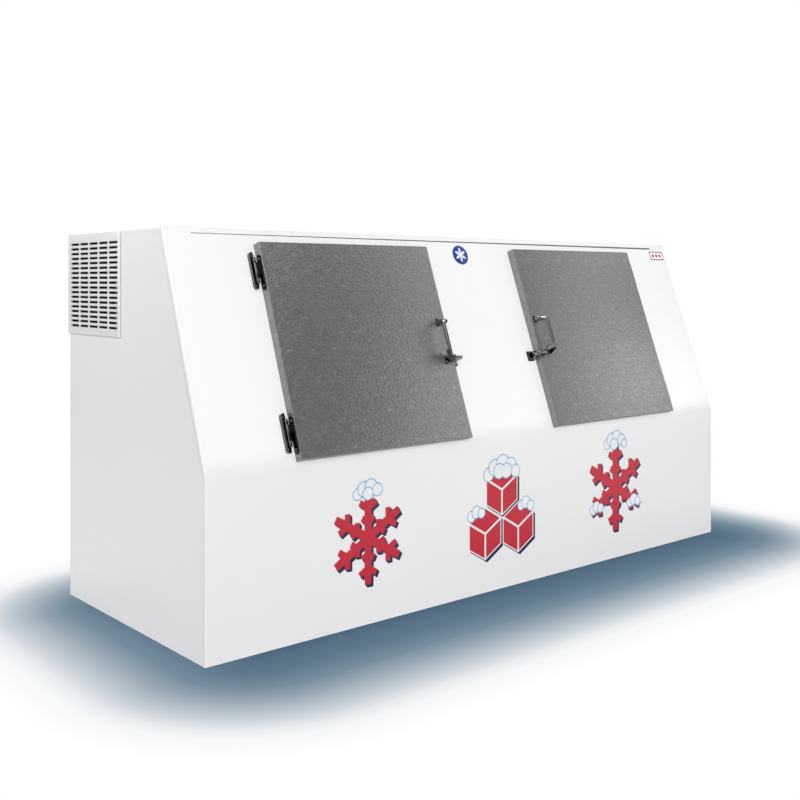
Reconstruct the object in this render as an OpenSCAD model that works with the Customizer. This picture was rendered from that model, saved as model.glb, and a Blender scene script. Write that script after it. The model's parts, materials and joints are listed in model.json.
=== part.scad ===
// Slant-front ice merchandiser freezer: an insulated steel cabinet with two
// overlay doors on the leaning front and a refrigeration unit in its own
// compartment at the top rear left corner.
// Origin: centre of the flat underside. +X to the right, +Y to the back, +Z up.

/* [Cabinet] */
// Width over the two end panels
body_w = 2388; // [2300:1:2500]
// Depth from the upright front to the back
body_d = 882; // [860:1:920]
// Height from the floor to the top of the roof cap
body_h = 1196; // [1180:1:1240]
// Height of the upright front, where the slant starts
front_h = 507; // [490:1:520]
// How far the slant leans back over its whole height
slant_run = 249; // [230:1:260]
// Insulated wall, over the skin, the foam and the liner
wall_t = 62; // [56:1:66]
// Steel sheet of the skins and the liner
skin_t = 1; // [0.8:0.1:1.2]
// How far the roof cap's front lip comes down over the slant
cap_front = 17; // [14:1:22]
// How far its lips come down over the ends and the back
cap_side = 12; // [10:1:14]

/* [Doors] */
// Width of a door over its pan
door_w = 682; // [660:1:700]
// Height of a door along the slant
door_h = 670.5; // [640:0.5:680]
// Clear strip of slant between the two doors
door_gap = 427; // [400:1:450]
// Bottom edge of the doors above the start of the slant
door_lift = 12.5; // [12:0.5:24]
// Thickness of the door pan
door_t = 27; // [26:1:32]
// Gasket between the door and the slant
gasket_t = 5; // [4:0.5:7]
// How far each door laps over its opening
overlap = 40; // [36:1:44]
// How far the door's inner plug reaches into its opening
plug_deep = 30; // [24:1:34]

/* [Hinges and latches] */
// Length of a hinge along the door's edge
hinge_len = 118; // [110:1:124]
// Distance of a hinge's middle from the end of the door
hinge_inset = 85.5; // [80:0.5:90]
// Radius of hinge and handle pins
pin_r = 3; // [2.5:0.1:3.2]
// Radial clearance of a pin in its bore
running = 0.05; // [0.02:0.01:0.1]
// How far the grip stands off the door
grip_out = 37; // [36:1:42]
// How far the grip sits towards the hinges from its pin
grip_in = 17; // [14:1:18]
// Radius of the handle's rod
rod_r = 6; // [5.4:0.1:6]

/* [Refrigeration unit] */
// Length of the machine compartment from the left end
bay_w = 714; // [700:1:730]
// Depth of the machine compartment from the back
bay_d = 366; // [360:1:372]
// Height of the machine compartment under the roof
bay_h = 340; // [336:1:344]
// How far the grille cover stands off the end panel
cover_t = 7; // [6:1:12]
// Slots across the grille cover
slot_cols = 5; // [5:1:5]
// Rows of slots down the grille cover
slot_rows = 18; // [16:1:18]
// Radius of the condenser fan
fan_r = 104; // [98:1:106]

/* [Hidden] */
$fn = 48;

// The shell under the roof cap
half_w = body_w / 2;
half_d = body_d / 2;
shell_h = body_h - skin_t;
slant_a = atan(slant_run / (body_h - front_h));
foam_in = wall_t - skin_t;
// A cut runs this far past what it cuts
past = 5;

// Door opening in the slant, in the door's own frame
open_x0 = overlap;
open_x1 = door_w - overlap;
open_y0 = overlap;
open_y1 = door_h - overlap;
breaker_t = 4;
// Sheet of the unit's boxes and covers
sheet = 1.5;
// Gasket, liner and plug of a door
gasket_w = 20;
gasket_edge = 1;
seat_gap = 0.3;
plug_edge = overlap + breaker_t + 6;
plug_t = 1.5;
door_face = gasket_t + door_t;

// Hinge: its axis, knuckles and leaves, in the door's own frame
axis_x = -13.5;
axis_z = 11;
knuckle_r = 5;
mid_knuckle = 50;
knuckle_gap = 0.5;
leaf_w = 20;
leaf_t = 3;
leaf_mid = -17.5;
rim_t = 3.5;
rim_h = 7;
door_leaf_t = 2.5;
knuckle_end = 40;
leaf_screw = 49;
// The door's leaf reaches lower than the cabinet's
plate_y = [-66, 46];
plate_z = [6, 30];
screw_r = 4.2;
shank_r = 1.9;
head_t = 2;
shank_l = 9;

// Handle: a bent rod that turns on a pin in its upper foot, with a lever and the latch nose below
handle_x = door_w - 26;
pivot_y = 395.5;
pivot_z = door_face + 16;
grip_top = 387.5;
grip_bend = 12;
eye_w = 12;
eye_r = 8;
foot_w = 33;
foot_t = 2.5;
foot_half = 14;
ear_t = 3;
ear_r = 7;
spring_wire = 0.65;
spring_r = 4.9;
nose_y = 266.5;
nose_size = [46, 12, 12];
lever_top = 293.5;
lever_end = handle_x + 6;
lever_half = 11;
guide_size = [40, 32];
guide_x = door_w - 2 - guide_size[0];
rail_size = [15, 3, 17];
rail_gap = 8;
strike_x = door_w + 6;
strike_size = [32, 36];
strike_screws = [24, 5.5];

// Machine compartment and what is in it
bay_x1 = -half_w + bay_w;
bay_y0 = half_d - bay_d;
bay_z0 = body_h - bay_h;
bay_wall_t = 60;
tray_t = 2;
cover_y0 = bay_y0 - 9;
cover_z0 = bay_z0 + 12;
slot_size = [59.5, 7.6];
slot_pitch = [70.5, 15.53];
slot_y0 = 74;
slot_z1 = 1159.5;
// The window in the end panel that the cover hides
window_y = [bay_y0 - 2, half_d - 17];
window_z = [cover_z0 + 17, body_h - 27];
fan_y = 290;
fan_z = 1022;
hub_r = 26;
hub_l = 24;
shaft_r = 6;
coil_x0 = -1180;
coil_deep = 58;
coil_y = [158, 420];
coil_z = [bay_z0 + tray_t, 1172];
shroud_x = coil_x0 + coil_deep;
shroud_deep = 26;
fan_x = shroud_x + shroud_deep - sheet;
motor_x = -1056;
motor_r = 40;
motor_l = 70;
comp_x = -820;
comp_y = 262;
comp_r = 92;
comp_h = 205;
can_lift = 18;
box_size = [84, 58, 180];
box_at = [-1176, bay_y0 + 6, bay_z0 + tray_t];
knob_z = box_at[2] + 142;
stem_r = 3;
louver_x = [-880, -540];
louver_z = [885, 1165];
louver_lap = 12;
louver_grid = [4, 14];
louver_slot_h = 8;
louver_rim = [25, 28];
bushing_x = -970;
bushing_z = 905;
bushing_r = 14;
cord_r = 8;
pipe_y = 150;
pipe_z = 960;
pipe_r = 5;
pipe_hole_r = 14;
drain_y = 120;
drain_z = 912;
drain_r = 9;

// Unit cooler under the ceiling of the cold room
cooler_x = [-380, -160];
cooler_y = [70, 350];
cooler_z = [925, shell_h - wall_t];
cooler_fan_r = 84;
cooler_fan_y = (cooler_y[0] + cooler_y[1]) / 2;
cooler_fan_z = 1030;
cooler_hub_r = 20;
cooler_hub_l = 20;
cooler_fan_x = cooler_x[1] - 18;
cooler_shaft_r = 5;

// ---------- outlines and placing ----------

// The cabinet's outline seen from the end, moved in by t: floor front, floor back,
// roof back, roof front and the start of the slant
function outline(t) = [
    [-half_d + t, t],
    [half_d - t, t],
    [half_d - t, shell_h - t],
    [-half_d + (sin(slant_a) * (shell_h - front_h - t) + t) / cos(slant_a), shell_h - t],
    [-half_d + t, front_h - t * tan(slant_a / 2)]
];

// One side of the wall between two insets, with mitred ends. 0 floor, 1 back, 2 roof, 3 slant, 4 front
function side(i, t0, t1) = [
    outline(t0)[i], outline(t0)[(i + 1) % 5], outline(t1)[(i + 1) % 5], outline(t1)[i]
];

// Stands a y-z outline up and draws it out along x
module along_x(x0, x1, points) {
    translate([x0, 0, 0]) rotate([90, 0, 90]) linear_extrude(x1 - x0) polygon(points);
}

module wall_side(i, t0, t1, x) {
    along_x(-x, x, side(i, t0, t1));
}

function unit(v) = v / norm(v);

// A box given by its two corners
module block(a, b) {
    translate(a) cube(b - a);
}

// The slant's own frame: x across, y up the slant, z outwards
module on_slant() {
    translate([0, -half_d, front_h]) rotate([90 - slant_a, 0, 0]) children();
}

// The left door's frame: x from its hinge edge, y from its bottom edge, z outwards
module at_door() {
    on_slant() translate([-door_gap / 2 - door_w, door_lift, 0]) children();
}

module right_hand() {
    mirror([1, 0, 0]) children();
}

module both_doors() {
    at_door() children();
    right_hand() at_door() children();
}

// A cylinder along x or y from a start point
module rod_x(at, len, r) {
    translate(at) rotate([0, 90, 0]) cylinder(h = len, r = r);
}

module rod_y(at, len, r) {
    translate(at) rotate([-90, 0, 0]) cylinder(h = len, r = r);
}

// A round rod between two points
module rod(p, q, r) {
    d = q - p;
    translate(p) rotate([0, acos(d[2] / norm(d)), atan2(d[1], d[0])]) cylinder(h = norm(d), r = r);
}

// A round bend from a start point: it turns from direction a to direction b
module bend(start, a, b, r, bend_r) {
    inward = unit(b - (a * b) * a);
    side = cross(a, inward);
    centre = start + bend_r * inward;
    multmatrix([
        [-inward[0], a[0], side[0], centre[0]],
        [-inward[1], a[1], side[1], centre[1]],
        [-inward[2], a[2], side[2], centre[2]]
    ]) rotate_extrude(angle = acos(a * b)) translate([bend_r, 0]) circle(r);
}

// A rod that follows points, with a round bend at each inner one. The bends are a hair
// thicker than the straight stretches, which reach a little way into them
module bent_rod(points, r, bend_r) {
    hair = 0.1;
    lap = 0.5;
    last = len(points) - 1;
    along = [for (i = [0:last - 1]) unit(points[i + 1] - points[i])];
    cut = [for (i = [0:last]) i == 0 || i == last ? 0 : bend_r * tan(acos(along[i - 1] * along[i]) / 2)];
    for (i = [0:last - 1]) {
        start = points[i] + max(cut[i] - lap, 0) * along[i];
        stop = points[i + 1] - max(cut[i + 1] - lap, 0) * along[i];
        rod(start, stop, r - hair);
    }
    for (i = [1:last - 1]) bend(points[i] - cut[i] * along[i - 1], along[i - 1], along[i], r, bend_r);
}

// A plate with round ends, long along y, its middle at the origin
module obround(len, w, h) {
    translate([-w / 2, -(len - w) / 2, 0]) cube([w, len - w, h]);
    for (end = [-1, 1]) translate([0, end * (len - w) / 2, 0]) cylinder(h = h, d = w);
}

// A pan-head screw, its head on z = 0 and its shank below
module screw(shank = shank_l) {
    cylinder(h = head_t, r1 = screw_r, r2 = screw_r - 1.4);
    translate([0, 0, -shank]) cylinder(h = shank, r = shank_r);
}

// ---------- cabinet ----------

module opening_cut() {
    translate([open_x0, open_y0, -wall_t - past])
        cube([open_x1 - open_x0, open_y1 - open_y0, wall_t + 2 * past]);
}

module bay_cut() {
    block([-half_w - past, bay_y0, bay_z0], [bay_x1, half_d + past, body_h + past]);
}

module base_pan() {
    color("gainsboro") wall_side(0, 0, skin_t, half_w - skin_t);
}

module left_end_panel() {
    color("gainsboro") difference() {
        along_x(-half_w, -half_w + skin_t, outline(0));
        block([-half_w - past, window_y[0], window_z[0]], [-half_w + past, window_y[1], window_z[1]]);
    }
}

module right_end_panel() {
    color("gainsboro") along_x(half_w - skin_t, half_w, outline(0));
}

module front_panel() {
    color("whitesmoke") wall_side(4, 0, skin_t, half_w - skin_t);
}

module slant_panel() {
    color("white") difference() {
        wall_side(3, 0, skin_t, half_w - skin_t);
        both_doors() opening_cut();
    }
}

// The back skin is open behind the rear louver and at the cord bushing. The louver laps over its window
module back_panel() {
    color("gainsboro") difference() {
        wall_side(1, 0, skin_t, half_w - skin_t);
        block([louver_x[0] + louver_lap, half_d - past, louver_z[0] + louver_lap],
            [louver_x[1] - louver_lap, half_d + past, louver_z[1] - louver_lap]);
        rod_y([bushing_x, half_d - past, bushing_z], 2 * past, bushing_r + running);
    }
}

// The roof cap laps over all four walls, lowest at the front
module roof_cap() {
    color("white") difference() {
        intersection() {
            along_x(-half_w - skin_t, half_w + skin_t, outline(-skin_t));
            union() {
                block([-half_w - past, -half_d, body_h - cap_side],
                    [half_w + past, half_d + past, body_h + past]);
                block([-half_w, -half_d, body_h - cap_front], [half_w, 0, body_h]);
            }
        }
        along_x(-half_w, half_w, outline(0));
    }
}

module floor_insulation() {
    color("khaki") wall_side(0, skin_t, foam_in, half_w - foam_in);
}

// Foam inside both end panels, cut away at the machine compartment
module end_insulation() {
    color("khaki") {
        difference() {
            along_x(-half_w + skin_t, -half_w + foam_in, outline(skin_t));
            bay_cut();
        }
        along_x(half_w - foam_in, half_w - skin_t, outline(skin_t));
    }
}

module back_insulation() {
    color("khaki") difference() {
        wall_side(1, skin_t, foam_in, half_w - foam_in);
        bay_cut();
    }
}

module front_insulation() {
    color("khaki") wall_side(4, skin_t, foam_in, half_w - foam_in);
}

module slant_insulation() {
    color("khaki") difference() {
        wall_side(3, skin_t, foam_in, half_w - foam_in);
        both_doors() opening_cut();
    }
}

module roof_insulation() {
    color("khaki") difference() {
        wall_side(2, skin_t, foam_in, half_w - foam_in);
        bay_cut();
    }
}

// The sheet tank of the cold room, open at the doors and around the compartment's own wall
module inner_liner() {
    in_w = half_w - foam_in;
    color("white") difference() {
        along_x(-in_w, in_w, outline(foam_in));
        along_x(-in_w + skin_t, in_w - skin_t, outline(wall_t));
        both_doors() opening_cut();
        block([-in_w - past, bay_y0 - bay_wall_t, bay_z0 - bay_wall_t],
            [bay_x1 + bay_wall_t, half_d, body_h]);
    }
}

// Plastic strip that lines a door opening
module breaker_frame() {
    w = open_x1 - open_x0;
    h = open_y1 - open_y0;
    color("white") difference() {
        translate([open_x0, open_y0, -wall_t]) cube([w, h, wall_t]);
        translate([open_x0 + breaker_t, open_y0 + breaker_t, -wall_t - past])
            cube([w - 2 * breaker_t, h - 2 * breaker_t, wall_t + 2 * past]);
    }
}

module left_breaker_frame() {
    at_door() breaker_frame();
}

module right_breaker_frame() {
    right_hand() left_breaker_frame();
}

// ---------- machine compartment ----------

// Insulated floor, front and side of the compartment, which stand in the cold room's corner
module bay_wall() {
    in_x = -half_w + foam_in;
    in_y = half_d - foam_in;
    in_z = shell_h - foam_in;
    color("white") difference() {
        block([in_x, bay_y0 - bay_wall_t, bay_z0 - bay_wall_t], [bay_x1 + bay_wall_t, in_y, in_z]);
        block([in_x - past, bay_y0, bay_z0], [bay_x1, half_d, body_h]);
        rod_x([bay_x1 - past, pipe_y, pipe_z], bay_wall_t + 2 * past, pipe_hole_r);
        rod_x([bay_x1 - past, drain_y, drain_z], bay_wall_t + 2 * past, drain_r + seat_gap);
    }
}

module unit_tray() {
    lip = 14;
    a = [-half_w + 6, bay_y0 + 3, bay_z0];
    b = [bay_x1 - 6, half_d - 6, bay_z0 + lip];
    color("silver") difference() {
        block(a, b);
        block(a + [tray_t, tray_t, tray_t], b + [-tray_t, -tray_t, past]);
    }
}

// Shallow pan over the intake, with five columns of slots
module grille_cover() {
    a = [-half_w - cover_t, cover_y0, cover_z0];
    b = [-half_w, half_d + skin_t, body_h];
    color("lightgray") difference() {
        block(a, b);
        block(a + [sheet, sheet, sheet], b + [past, -sheet, -sheet]);
        for (c = [0:slot_cols - 1], r = [0:slot_rows - 1])
            translate([a[0] - past, slot_y0 + c * slot_pitch[0], slot_z1 - r * slot_pitch[1]])
                translate([0, 0, -slot_size[1] / 2]) cube([past + 2 * sheet, slot_size[0], slot_size[1]]);
        along_x(-half_w - skin_t, -half_w + past, outline(-skin_t));
    }
}

// Exhaust plate on the back of the compartment
module rear_louver() {
    bar = 12;
    step_x = (louver_x[1] - louver_x[0] - 2 * louver_rim[0] + bar) / louver_grid[0];
    step_z = (louver_z[1] - louver_z[0] - 2 * louver_rim[1] + bar) / louver_grid[1];
    color("lightgray") difference() {
        block([louver_x[0], half_d, louver_z[0]], [louver_x[1], half_d + sheet, louver_z[1]]);
        for (c = [0:louver_grid[0] - 1], r = [0:louver_grid[1] - 1])
            translate([louver_x[0] + louver_rim[0] + c * step_x, half_d - past,
                louver_z[0] + louver_rim[1] + r * step_z])
                cube([step_x - bar, 3 * past, louver_slot_h]);
    }
}

// Snap-in bushing where the supply cord leaves the compartment
module cord_bushing() {
    flange_t = 3;
    inside = 8;
    color("black") difference() {
        union() {
            rod_y([bushing_x, half_d - inside, bushing_z], inside + flange_t, bushing_r);
            rod_y([bushing_x, half_d, bushing_z], flange_t, bushing_r + 4);
        }
        rod_y([bushing_x, half_d - inside - past, bushing_z], inside + flange_t + 2 * past, cord_r);
    }
}

// Outline of a fin block seen from above: a web in the middle, for the tube rows, and fins on both sides
function comb(x, y, web, count, fin) = let (
    pitch = (y[1] - y[0] - fin) / (count - 1),
    mid = (x[0] + x[1]) / 2,
    right_fin = [[mid + web, 0], [x[1], 0], [x[1], fin], [mid + web, fin]],
    left_fin = [[mid - web, fin], [x[0], fin], [x[0], 0], [mid - web, 0]]
) concat(
    [for (i = [0:count - 1], p = right_fin) [p[0], y[0] + i * pitch + p[1]]],
    [for (i = [count - 1:-1:0], p = left_fin) [p[0], y[0] + i * pitch + p[1]]]
);

// Half turn of tube that joins two rows in front of an end plate
module return_bend(at, bend_r, tube_r) {
    translate(at) rotate([90, 0, 0]) rotate([0, 90, 0]) rotate([0, 0, 90])
        rotate_extrude(angle = 180) translate([bend_r, 0]) circle(tube_r);
}

// Fin block between two end plates, with return bends on the front one
module coil(x, y, z, fins, rows) {
    plate = 2;
    tube_r = 4.5;
    bend_r = 9;
    web = 6;
    fin = 1.2;
    pitch = (z[1] - z[0]) / rows;
    color("silver") {
        translate([0, 0, z[0]]) linear_extrude(z[1] - z[0])
            polygon(comb([x[0] + 1, x[1] - 1], [y[0] + plate, y[1] - plate], web, fins, fin));
        for (end = [y[0], y[1] - plate]) block([x[0], end, z[0]], [x[1], end + plate, z[1]]);
    }
    color("peru") for (row = [0:rows - 1], side = [0.25, 0.75])
        return_bend([x[0] + (x[1] - x[0]) * side, y[0], z[0] + (row + 0.5) * pitch], bend_r, tube_r);
}

module condenser_coil() {
    coil([coil_x0, coil_x0 + coil_deep], coil_y, coil_z, 44, 9);
}

// Sheet box behind the coil, with the fan's round orifice
module fan_shroud() {
    a = [shroud_x, coil_y[0], coil_z[0]];
    b = [shroud_x + shroud_deep, coil_y[1], coil_z[1]];
    color("dimgray") difference() {
        block(a, b);
        block(a + [-past, sheet, sheet], b - [sheet, sheet, sheet]);
        rod_x([shroud_x, fan_y, fan_z], 2 * shroud_deep, fan_r + 6);
    }
}

// Outline of a blade: narrow at the root and round at the tip
function blade(long, root, tip) = concat(
    [[-root / 2, 0], [root / 2, 0]],
    [for (a = [0:30:180]) [tip / 2 * cos(a), long - tip / 4 + tip / 4 * sin(a)]]
);

// Fan with flat pitched blades, its axis along x through the origin and a bore for the motor's shaft
module fan(r, hub, hub_long, shaft, blades) {
    blade_t = 2;
    pitch = 62;
    root_in = 4;
    color("dimgray") difference() {
        union() {
            rod_x([-hub_long / 2, 0, 0], hub_long, hub);
            for (b = [0:blades - 1]) rotate([b * 360 / blades, 0, 0]) translate([0, 0, hub - root_in])
                rotate([0, 0, pitch]) rotate([90, 0, 0]) translate([0, 0, -blade_t / 2])
                    linear_extrude(blade_t) polygon(blade(r - hub, r * 0.3, r * 0.46));
        }
        rod_x([-hub_long, 0, 0], 2 * hub_long, shaft + running);
    }
}

// Motor with its shaft to the left and a bracket down to the floor below it
module motor(at, r, long, shaft, shaft_long, floor_z) {
    bracket = 4;
    foot = 30;
    x = at[0] + long * 0.4;
    color("dimgray") {
        rod_x(at, long, r);
        rod_x(at - [shaft_long, 0, 0], shaft_long + 1, shaft);
        block([x, at[1] - r * 0.6, floor_z], [x + bracket, at[1] + r * 0.6, at[2]]);
        block([x, at[1] - r * 0.8, floor_z], [x + foot, at[1] + r * 0.8, floor_z + 3]);
    }
}

module condenser_fan() {
    translate([fan_x, fan_y, fan_z]) fan(fan_r, hub_r, hub_l, shaft_r, 5);
}

module condenser_motor() {
    shaft_l = motor_x - fan_x + hub_l / 2;
    motor([motor_x, fan_y, fan_z], motor_r, motor_l, shaft_r, shaft_l, bay_z0 + tray_t);
}

// Hermetic compressor: a domed can on a foot plate with four grommets and a terminal box
module compressor() {
    base = bay_z0 + tray_t;
    seam = 12;
    foot = 105;
    foot_t = 4;
    color("black") translate([comp_x, comp_y, base]) {
        translate([0, 0, can_lift]) rotate_extrude() polygon([
            [0, 0], [comp_r - 22, 0], [comp_r - 4, 14], [comp_r - 4, comp_h * 0.5],
            [comp_r, comp_h * 0.5], [comp_r, comp_h * 0.5 + seam], [comp_r - 4, comp_h * 0.5 + seam],
            [comp_r - 6, comp_h - 44], [comp_r - 26, comp_h - 14], [comp_r - 60, comp_h], [0, comp_h]
        ]);
        translate([-foot, -foot, can_lift - foot_t]) cube([2 * foot, 2 * foot, foot_t]);
        for (sx = [-1, 1], sy = [-1, 1]) translate([sx * (foot - 14), sy * (foot - 14), 0])
            cylinder(h = can_lift - foot_t, r = 11);
        translate([comp_r - 12, -30, 60]) cube([34, 60, 56]);
    }
}

// Copper lines brazed into the can: discharge to the coil, with a filter drier, and suction from the cooler
module refrigerant_lines() {
    top = bay_z0 + tray_t + can_lift + comp_h;
    brazed = top - 24;
    high = top + 30;
    back_y = coil_y[1] - 15;
    behind_y = coil_y[1] + 10;
    hot_x = comp_x - 40;
    cold_x = comp_x + 20;
    cold_y = comp_y - 50;
    down_x = bay_x1 - 40;
    bend_r = 9;
    drier_r = 11;
    drier_l = 110;
    color("peru") {
        bent_rod([
            [hot_x, comp_y, brazed], [hot_x, comp_y, high], [hot_x, back_y, high],
            [shroud_x + 46, back_y, high], [shroud_x + 36, behind_y, high], [shroud_x - 14, behind_y, high]
        ], pipe_r - 1, bend_r);
        bent_rod([
            [cold_x, cold_y, brazed], [cold_x, cold_y, high], [cold_x, pipe_y, high],
            [down_x, pipe_y, high], [down_x, pipe_y, pipe_z], [cooler_x[0] + 4, pipe_y, pipe_z]
        ], pipe_r, bend_r);
        rod_x([hot_x - 30 - drier_l, back_y, high], drier_l, drier_r);
    }
}

module control_box() {
    color("silver") difference() {
        block(box_at, box_at + box_size);
        block(box_at + [sheet, sheet, sheet], box_at + box_size + [past, -sheet, -sheet]);
        rod_x([box_at[0] - past, box_at[1] + box_size[1] / 2, knob_z], 3 * past, stem_r + running);
    }
}

// Round knob with a pointer rib, on the face of the control box
module thermostat_knob() {
    y = box_at[1] + box_size[1] / 2;
    color("black") {
        rod_x([box_at[0] - 11, y, knob_z], 10, 15);
        rod_x([box_at[0] - 2, y, knob_z], 14, stem_r);
        block([box_at[0] - 14, y - 2, knob_z - 14], [box_at[0] - 10, y + 2, knob_z + 14]);
    }
}

// ---------- unit cooler ----------

module evaporator_case() {
    a = [cooler_x[0], cooler_y[0], cooler_z[0]];
    b = [cooler_x[1], cooler_y[1], cooler_z[1]];
    color("silver") difference() {
        block(a, b);
        block(a + [-past, sheet, sheet], b - [sheet, sheet, sheet]);
        rod_x([cooler_x[1] - past, cooler_fan_y, cooler_fan_z], 2 * past, cooler_fan_r + 6);
    }
}

module evaporator_coil() {
    coil([cooler_x[0] + 4, cooler_x[0] + 64], [cooler_y[0] + 18, cooler_y[1] - 18],
        [cooler_z[0] + 4, cooler_z[1] - 6], 32, 5);
}

module evaporator_fan() {
    translate([cooler_fan_x, cooler_fan_y, cooler_fan_z])
        fan(cooler_fan_r, cooler_hub_r, cooler_hub_l, cooler_shaft_r, 4);
}

// The motor stands right of the coil, turned round so that its shaft points to the fan
module evaporator_motor() {
    gap = 10;
    long = 60;
    can_r = 32;
    start = cooler_fan_x - cooler_hub_l / 2 - gap;
    floor_z = cooler_z[0] + sheet;
    translate([start, 0, 0]) mirror([1, 0, 0])
        motor([0, cooler_fan_y, cooler_fan_z], can_r, long, cooler_shaft_r, gap + cooler_hub_l, floor_z);
}

// Guard over the cooler's fan: wire rings on four flat ribs
module evaporator_guard() {
    wire = 1.6;
    ring = 18;
    first = 26;
    outer = cooler_fan_r + 14;
    rib = 2.4;
    color("silver") translate([cooler_x[1] + wire, cooler_fan_y, cooler_fan_z]) {
        for (r = [first:ring:outer])
            rotate([0, 90, 0]) rotate_extrude() translate([r, 0]) circle(wire, $fn = 16);
        for (a = [45:90:315]) rotate([a, 0, 0]) translate([wire / 2, -rib / 2, first])
            cube([rib, rib, outer - first]);
    }
}

// Pan under the cooler, with a spout through the compartment's wall
module drain_pan() {
    a = [cooler_x[0] - 10, cooler_y[0] - 8, cooler_z[0] - 24];
    b = [cooler_x[1] + 8, cooler_y[1] + 8, cooler_z[0]];
    color("silver") difference() {
        union() {
            block(a, b);
            rod_x([bay_x1 - 12, drain_y, drain_z], a[0] - bay_x1 + 14, drain_r);
        }
        block(a + [sheet, sheet, sheet], b + [-sheet, -sheet, past]);
        rod_x([bay_x1 - 20, drain_y, drain_z], a[0] - bay_x1 + 30, drain_r - sheet);
    }
}

// ---------- doors ----------

module door_skin() {
    color("gray") translate([0, 0, gasket_t]) difference() {
        cube([door_w, door_h, door_t]);
        translate([skin_t, skin_t, -past])
            cube([door_w - 2 * skin_t, door_h - 2 * skin_t, door_t - skin_t + past]);
    }
}

module plug(inset, deep) {
    translate([plug_edge + inset, plug_edge + inset, -deep + gasket_t + inset])
        cube([door_w - 2 * (plug_edge + inset), door_h - 2 * (plug_edge + inset), deep - inset + plug_t]);
}

module door_liner() {
    color("white") difference() {
        union() {
            translate([skin_t, skin_t, gasket_t])
                cube([door_w - 2 * skin_t, door_h - 2 * skin_t, plug_t]);
            plug(0, plug_deep);
        }
        plug(plug_t, plug_deep);
        translate([plug_edge + plug_t, plug_edge + plug_t, 0])
            cube([door_w - 2 * (plug_edge + plug_t), door_h - 2 * (plug_edge + plug_t), 2 * gasket_t]);
    }
}

module door_insulation() {
    color("khaki") {
        translate([skin_t, skin_t, gasket_t + plug_t])
            cube([door_w - 2 * skin_t, door_h - 2 * skin_t, door_t - plug_t - skin_t]);
        plug(plug_t, plug_deep);
    }
}

module door_gasket() {
    inner = gasket_edge + gasket_w;
    color("dimgray") difference() {
        translate([gasket_edge, gasket_edge, seat_gap])
            cube([door_w - 2 * gasket_edge, door_h - 2 * gasket_edge, gasket_t - seat_gap]);
        translate([inner, inner, -past])
            cube([door_w - 2 * inner, door_h - 2 * inner, 3 * past]);
    }
}

module left_door_skin() { at_door() door_skin(); }
module left_door_insulation() { at_door() door_insulation(); }
module left_door_liner() { at_door() door_liner(); }
module left_door_gasket() { at_door() door_gasket(); }
module right_door_skin() { right_hand() left_door_skin(); }
module right_door_insulation() { right_hand() left_door_insulation(); }
module right_door_liner() { right_hand() left_door_liner(); }
module right_door_gasket() { right_hand() left_door_gasket(); }

// ---------- hinges ----------

// At each hinge of the left door: y along the hinge from its middle
module at_hinges() {
    at_door() for (y = [hinge_inset, door_h - hinge_inset]) translate([0, y, 0]) children();
}

module knuckle(y0, y1) {
    rod_y([axis_x, y0, axis_z], y1 - y0, knuckle_r);
}

module hinge_bore() {
    rod_y([axis_x, -hinge_len, axis_z], 2 * hinge_len, pin_r + running);
}

// Obround base with a raised outer rim, and a knuckle on a post at each end
module frame_leaf() {
    start = mid_knuckle / 2 + knuckle_gap;
    post = 8;
    color("lightgray") difference() {
        union() {
            translate([leaf_mid, 0, 0]) obround(hinge_len, leaf_w, leaf_t);
            intersection() {
                difference() {
                    translate([leaf_mid, 0, 0]) obround(hinge_len, leaf_w, leaf_t + rim_h);
                    translate([leaf_mid, 0, leaf_t])
                        obround(hinge_len - 2 * rim_t, leaf_w - 2 * rim_t, rim_h + past);
                }
                translate([leaf_mid - leaf_w, -hinge_len, 0]) cube([leaf_w + 3.5, 2 * hinge_len, axis_z]);
            }
            for (y = [-knuckle_end, start]) {
                translate([axis_x - post / 2, y, 0]) cube([post, knuckle_end - start, axis_z]);
                knuckle(y, y + knuckle_end - start);
            }
        }
        hinge_bore();
    }
}

// Plate on the door's side, with the middle knuckle on an arm
module door_leaf() {
    arm_t = 6;
    color("lightgray") difference() {
        union() {
            translate([-door_leaf_t, plate_y[0], plate_z[0]])
                cube([door_leaf_t, plate_y[1] - plate_y[0], plate_z[1] - plate_z[0]]);
            translate([axis_x, -mid_knuckle / 2, axis_z - arm_t / 2])
                cube([-axis_x - door_leaf_t / 2, mid_knuckle, arm_t]);
            knuckle(-mid_knuckle / 2, mid_knuckle / 2);
        }
        hinge_bore();
    }
}

module hinge_frame_leaves() {
    at_hinges() frame_leaf();
    right_hand() at_hinges() frame_leaf();
}

module left_hinge_door_leaves() {
    at_hinges() door_leaf();
}

module right_hinge_door_leaves() {
    right_hand() left_hinge_door_leaves();
}

// Pin with a small head at each end
module hinge_pin() {
    color("silver") {
        rod_y([axis_x, -knuckle_end, axis_z], 2 * knuckle_end, pin_r);
        for (y = [-knuckle_end - head_t, knuckle_end]) rod_y([axis_x, y, axis_z], head_t, pin_r + 1.5);
    }
}

module hinge_pins() {
    at_hinges() hinge_pin();
    right_hand() at_hinges() hinge_pin();
}

// ---------- handles and strikes ----------

// Lever from the grip to the nose: its outline seen from the front, and the one seen from below
module lever(x, z) {
    flank = 7;
    low = pivot_z - nose_size[2] / 2;
    high = pivot_z + nose_size[2] / 2;
    intersection() {
        translate([0, 0, door_face]) linear_extrude(2 * grip_out) polygon([
            [x - flank, lever_top], [x + flank, lever_top], [lever_end, nose_y + lever_half],
            [lever_end, nose_y - lever_half], [lever_end - 10, nose_y - lever_half], [x - flank, lever_top - 14]
        ]);
        translate([0, lever_top, 0]) rotate([90, 0, 0]) linear_extrude(lever_top - nose_y + lever_half) polygon([
            [x - flank, z + flank], [x - flank, z - flank], [lever_end - 14, low],
            [lever_end, low], [lever_end, high], [x + flank, z + flank]
        ]);
    }
}

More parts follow.
